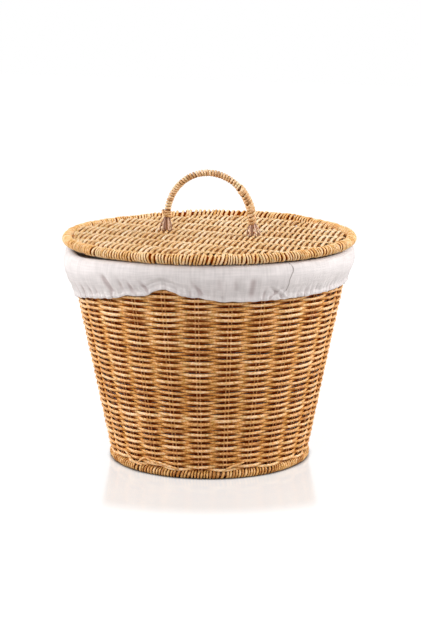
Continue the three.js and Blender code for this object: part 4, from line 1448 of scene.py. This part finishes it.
class BASKET_OT_finish_wires(bpy.types.Operator):
    """Give the carried-over pieces their finish"""

    bl_idname = "basket.finish_wires"
    bl_label = "Finish wires"

    def execute(self, context):
        finishes = {
            "stake_wire": wire_finish("Stake wire", (0.74, 0.35, 0.14), 0.6),
            "frame_wire": wire_finish("Frame wire", tuple(context.scene.basket_colours.wire), 0.6),
            "elastic": wire_finish("Elastic", (0.82, 0.80, 0.77), 0.85),
            "binding": cane(context, "Rim cane", stretch=(0.6, 0.6, 0.6), bright=0.3),
        }
        for row in frame["record"]["subparts"]:
            made = frame["nodes"][row["node"]]
            if not made.hide_render:
                made.data.materials.clear()
                made.data.materials.append(finishes[row["material_slot"]])
        return {"FINISHED"}


# Stage

CAMERA_AIM = Vector((0, 0, 0.133))  # the point that the photograph was measured from
CAMERA_DISTANCE = 2.3
CAMERA_AZIMUTH = math.radians(24)
CAMERA_ELEVATION = math.radians(12.28)
CAMERA_ROLL = math.radians(-0.05)
SHORT_SIDE, LONG_SIDE = 421, 631  # of the photograph, in pixels
FOCAL_PIXELS = 804.5 * CAMERA_DISTANCE
AIM_BELOW = 348.3 - LONG_SIDE / 2  # pixels from the picture's middle down to the aim
AIM_LEFT = SHORT_SIDE / 2 - 209.4  # and from the middle left to it
LIGHTS = (  # places, sizes and powers
    ("left", (-1.65, -0.55, 1.0), 1.5, 32),
    ("right", (1.60, 0.75, 1.0), 1.5, 38),
    ("front", (0.35, -2.3, 1.6), 1.2, 25),
    ("top", (0.1, 0.3, 2.3), 1.2, 4),
)
WHITE = (1, 1, 1, 1)


def camera_axes():
    """Right, up and back of the camera, turned so that the aim lands where the photograph has it."""
    a, e = CAMERA_AZIMUTH, CAMERA_ELEVATION
    back = Vector((math.sin(a) * math.cos(e), -math.cos(a) * math.cos(e), math.sin(e)))
    right = Vector((math.cos(a), math.sin(a), 0))
    up = back.cross(right)
    place = CAMERA_AIM + back * CAMERA_DISTANCE
    pitch = Matrix.Rotation(math.atan(AIM_BELOW / FOCAL_PIXELS), 3, right)
    yaw = Matrix.Rotation(-math.atan(AIM_LEFT / FOCAL_PIXELS), 3, up)
    roll = Matrix.Rotation(CAMERA_ROLL, 3, back)
    turn = pitch @ yaw @ roll
    return place, turn @ right, turn @ up, turn @ back


def seen(tree):
    """1 where the camera or a reflection looks, and 0 for other light."""
    path = tree.nodes.new("ShaderNodeLightPath").outputs
    return arithmetic(tree, "MAXIMUM", path["Is Camera Ray"], path["Is Glossy Ray"])


class BASKET_OT_set_stage(bpy.types.Operator):
    """Make the camera, the lights, the world and the floor"""

    bl_idname = "basket.set_stage"
    bl_label = "Set stage"

    def execute(self, context):
        scene = context.scene
        scene.view_settings.view_transform = "Standard"
        place, right, up, back = camera_axes()
        data = bpy.data.cameras.new("camera")
        data.sensor_width = 36
        data.lens = FOCAL_PIXELS * data.sensor_width / LONG_SIDE
        camera = bpy.data.objects.new("camera", data)
        camera.matrix_world = Matrix.Translation(place) @ Matrix((right, up, back)).transposed().to_4x4()
        scene.collection.objects.link(camera)
        scene.camera = camera
        for light in LIGHTS:
            self.light(scene, *light)
        self.world(scene)
        self.floor(scene)
        return {"FINISHED"}

    def light(self, scene, name, place, size, power):
        """A square soft light that points at the basket."""
        data = bpy.data.lights.new(name, "AREA")
        data.size, data.energy = size, power
        lamp = bpy.data.objects.new(name, data)
        lamp.location = place
        lamp.rotation_mode = "QUATERNION"
        lamp.rotation_quaternion = (Vector(place) - CAMERA_AIM).to_track_quat("Z", "Y")
        scene.collection.objects.link(lamp)

    def world(self, scene):
        """An even pale world that looks white."""
        world = bpy.data.worlds.new("world")
        world.use_nodes = True
        tree = world.node_tree
        lit = tree.nodes["Background"]
        lit.inputs["Color"].default_value = WHITE
        lit.inputs["Strength"].default_value = 0.52
        white = node(tree, "ShaderNodeBackground", Color=WHITE, Strength=1.0)
        mix = node(tree, "ShaderNodeMixShader", {0: seen(tree), 1: lit.outputs[0], 2: white.outputs[0]})
        link(tree, tree.nodes["World Output"], {"Surface": mix.outputs[0]})
        scene.world = world

    def floor(self, scene):
        """A pale floor with a faint reflection, which glows white, with a painted contact shadow at the
        basket's foot, painted shade under it and a little round it.
        """
        half = 6.0
        mesh = bpy.data.meshes.new("floor")
        mesh.from_pydata(
            [(-half, -half, 0), (half, -half, 0), (half, half, 0), (-half, half, 0)], [], [(0, 1, 2, 3)]
        )
        floor = bpy.data.objects.new("floor", mesh)
        scene.collection.objects.link(floor)
        material, tree, bsdf = plain_material(
            "Floor", (0.13, 0.118, 0.11), Roughness=0.9, Specular_IOR_Level=0.0
        )
        away = node(tree, "ShaderNodeVectorMath", {"Vector": object_place(tree)}, operation="LENGTH")
        away = away.outputs["Value"]
        # painted contact shadow: less glow where the floor is occluded
        under = node(tree, "ShaderNodeAmbientOcclusion", samples=8, Distance=12 * MM).outputs["AO"]
        faded = mask(tree, away, FOOT_R + 175 * MM, FOOT_R + 110 * MM)
        # the glow, lowered for painted shade: at the foot, under the basket and a little near it
        lifted = times(
            tree, arithmetic(tree, "MAXIMUM", seen(tree), 0.48), mask(tree, under, 0.3, 0.8),
            mask(tree, away, FOOT_R, FOOT_R + 3 * MM),
            arithmetic(tree, "SUBTRACT", 1.0, times(tree, faded, 0.1)),
        )
        glow = node(tree, "ShaderNodeEmission", {"Strength": lifted}, Color=WHITE)
        lit = node(tree, "ShaderNodeAddShader", {0: bsdf.outputs[0], 1: glow.outputs[0]})
        mirror = node(tree, "ShaderNodeBsdfGlossy", Roughness=0.16, Color=WHITE)
        mix = node(tree, "ShaderNodeMixShader",
                   {0: times(tree, faded, 0.26), 1: lit.outputs[0], 2: mirror.outputs[0]})
        link(tree, tree.nodes["Material Output"], {"Surface": mix.outputs[0]})
        mesh.materials.append(material)


OPERATORS = (
    BASKET_OT_set_stage,
    BASKET_OT_weave_wall,
    BASKET_OT_lay_strays,
    BASKET_OT_weave_base,
    BASKET_OT_bind_hoops,
    BASKET_OT_sew_liner,
    BASKET_OT_weave_lid,
    BASKET_OT_bind_handle,
    BASKET_OT_lash_handle,
    BASKET_OT_finish_wires,
)


class BASKET_PT_panel(bpy.types.Panel):
    """Lists the steps that make the basket, and their settings"""

    bl_idname = "BASKET_PT_panel"
    bl_label = "Basket"
    bl_space_type = "VIEW_3D"
    bl_region_type = "UI"
    bl_category = "Basket"

    def draw(self, context):
        for operator in OPERATORS:
            self.layout.operator(operator.bl_idname)
        for name, group in SETTINGS.items():
            box = self.layout.box()
            for key in group.__annotations__:
                box.prop(getattr(context.scene, name), key)


CLASSES = (*SETTINGS.values(), *OPERATORS, BASKET_PT_panel)


def register():
    for made in CLASSES:
        bpy.utils.register_class(made)
    for name, group in SETTINGS.items():
        setattr(bpy.types.Scene, name, PointerProperty(type=group))


def unregister():
    for name in SETTINGS:
        delattr(bpy.types.Scene, name)
    for made in reversed(CLASSES):
        bpy.utils.unregister_class(made)


def main():
    """Makes the basket over its frame."""
    register()
    for operator in OPERATORS:
        group, name = operator.bl_idname.split(".")
        getattr(getattr(bpy.ops, group), name)()


if __name__ == "__main__":
    main()
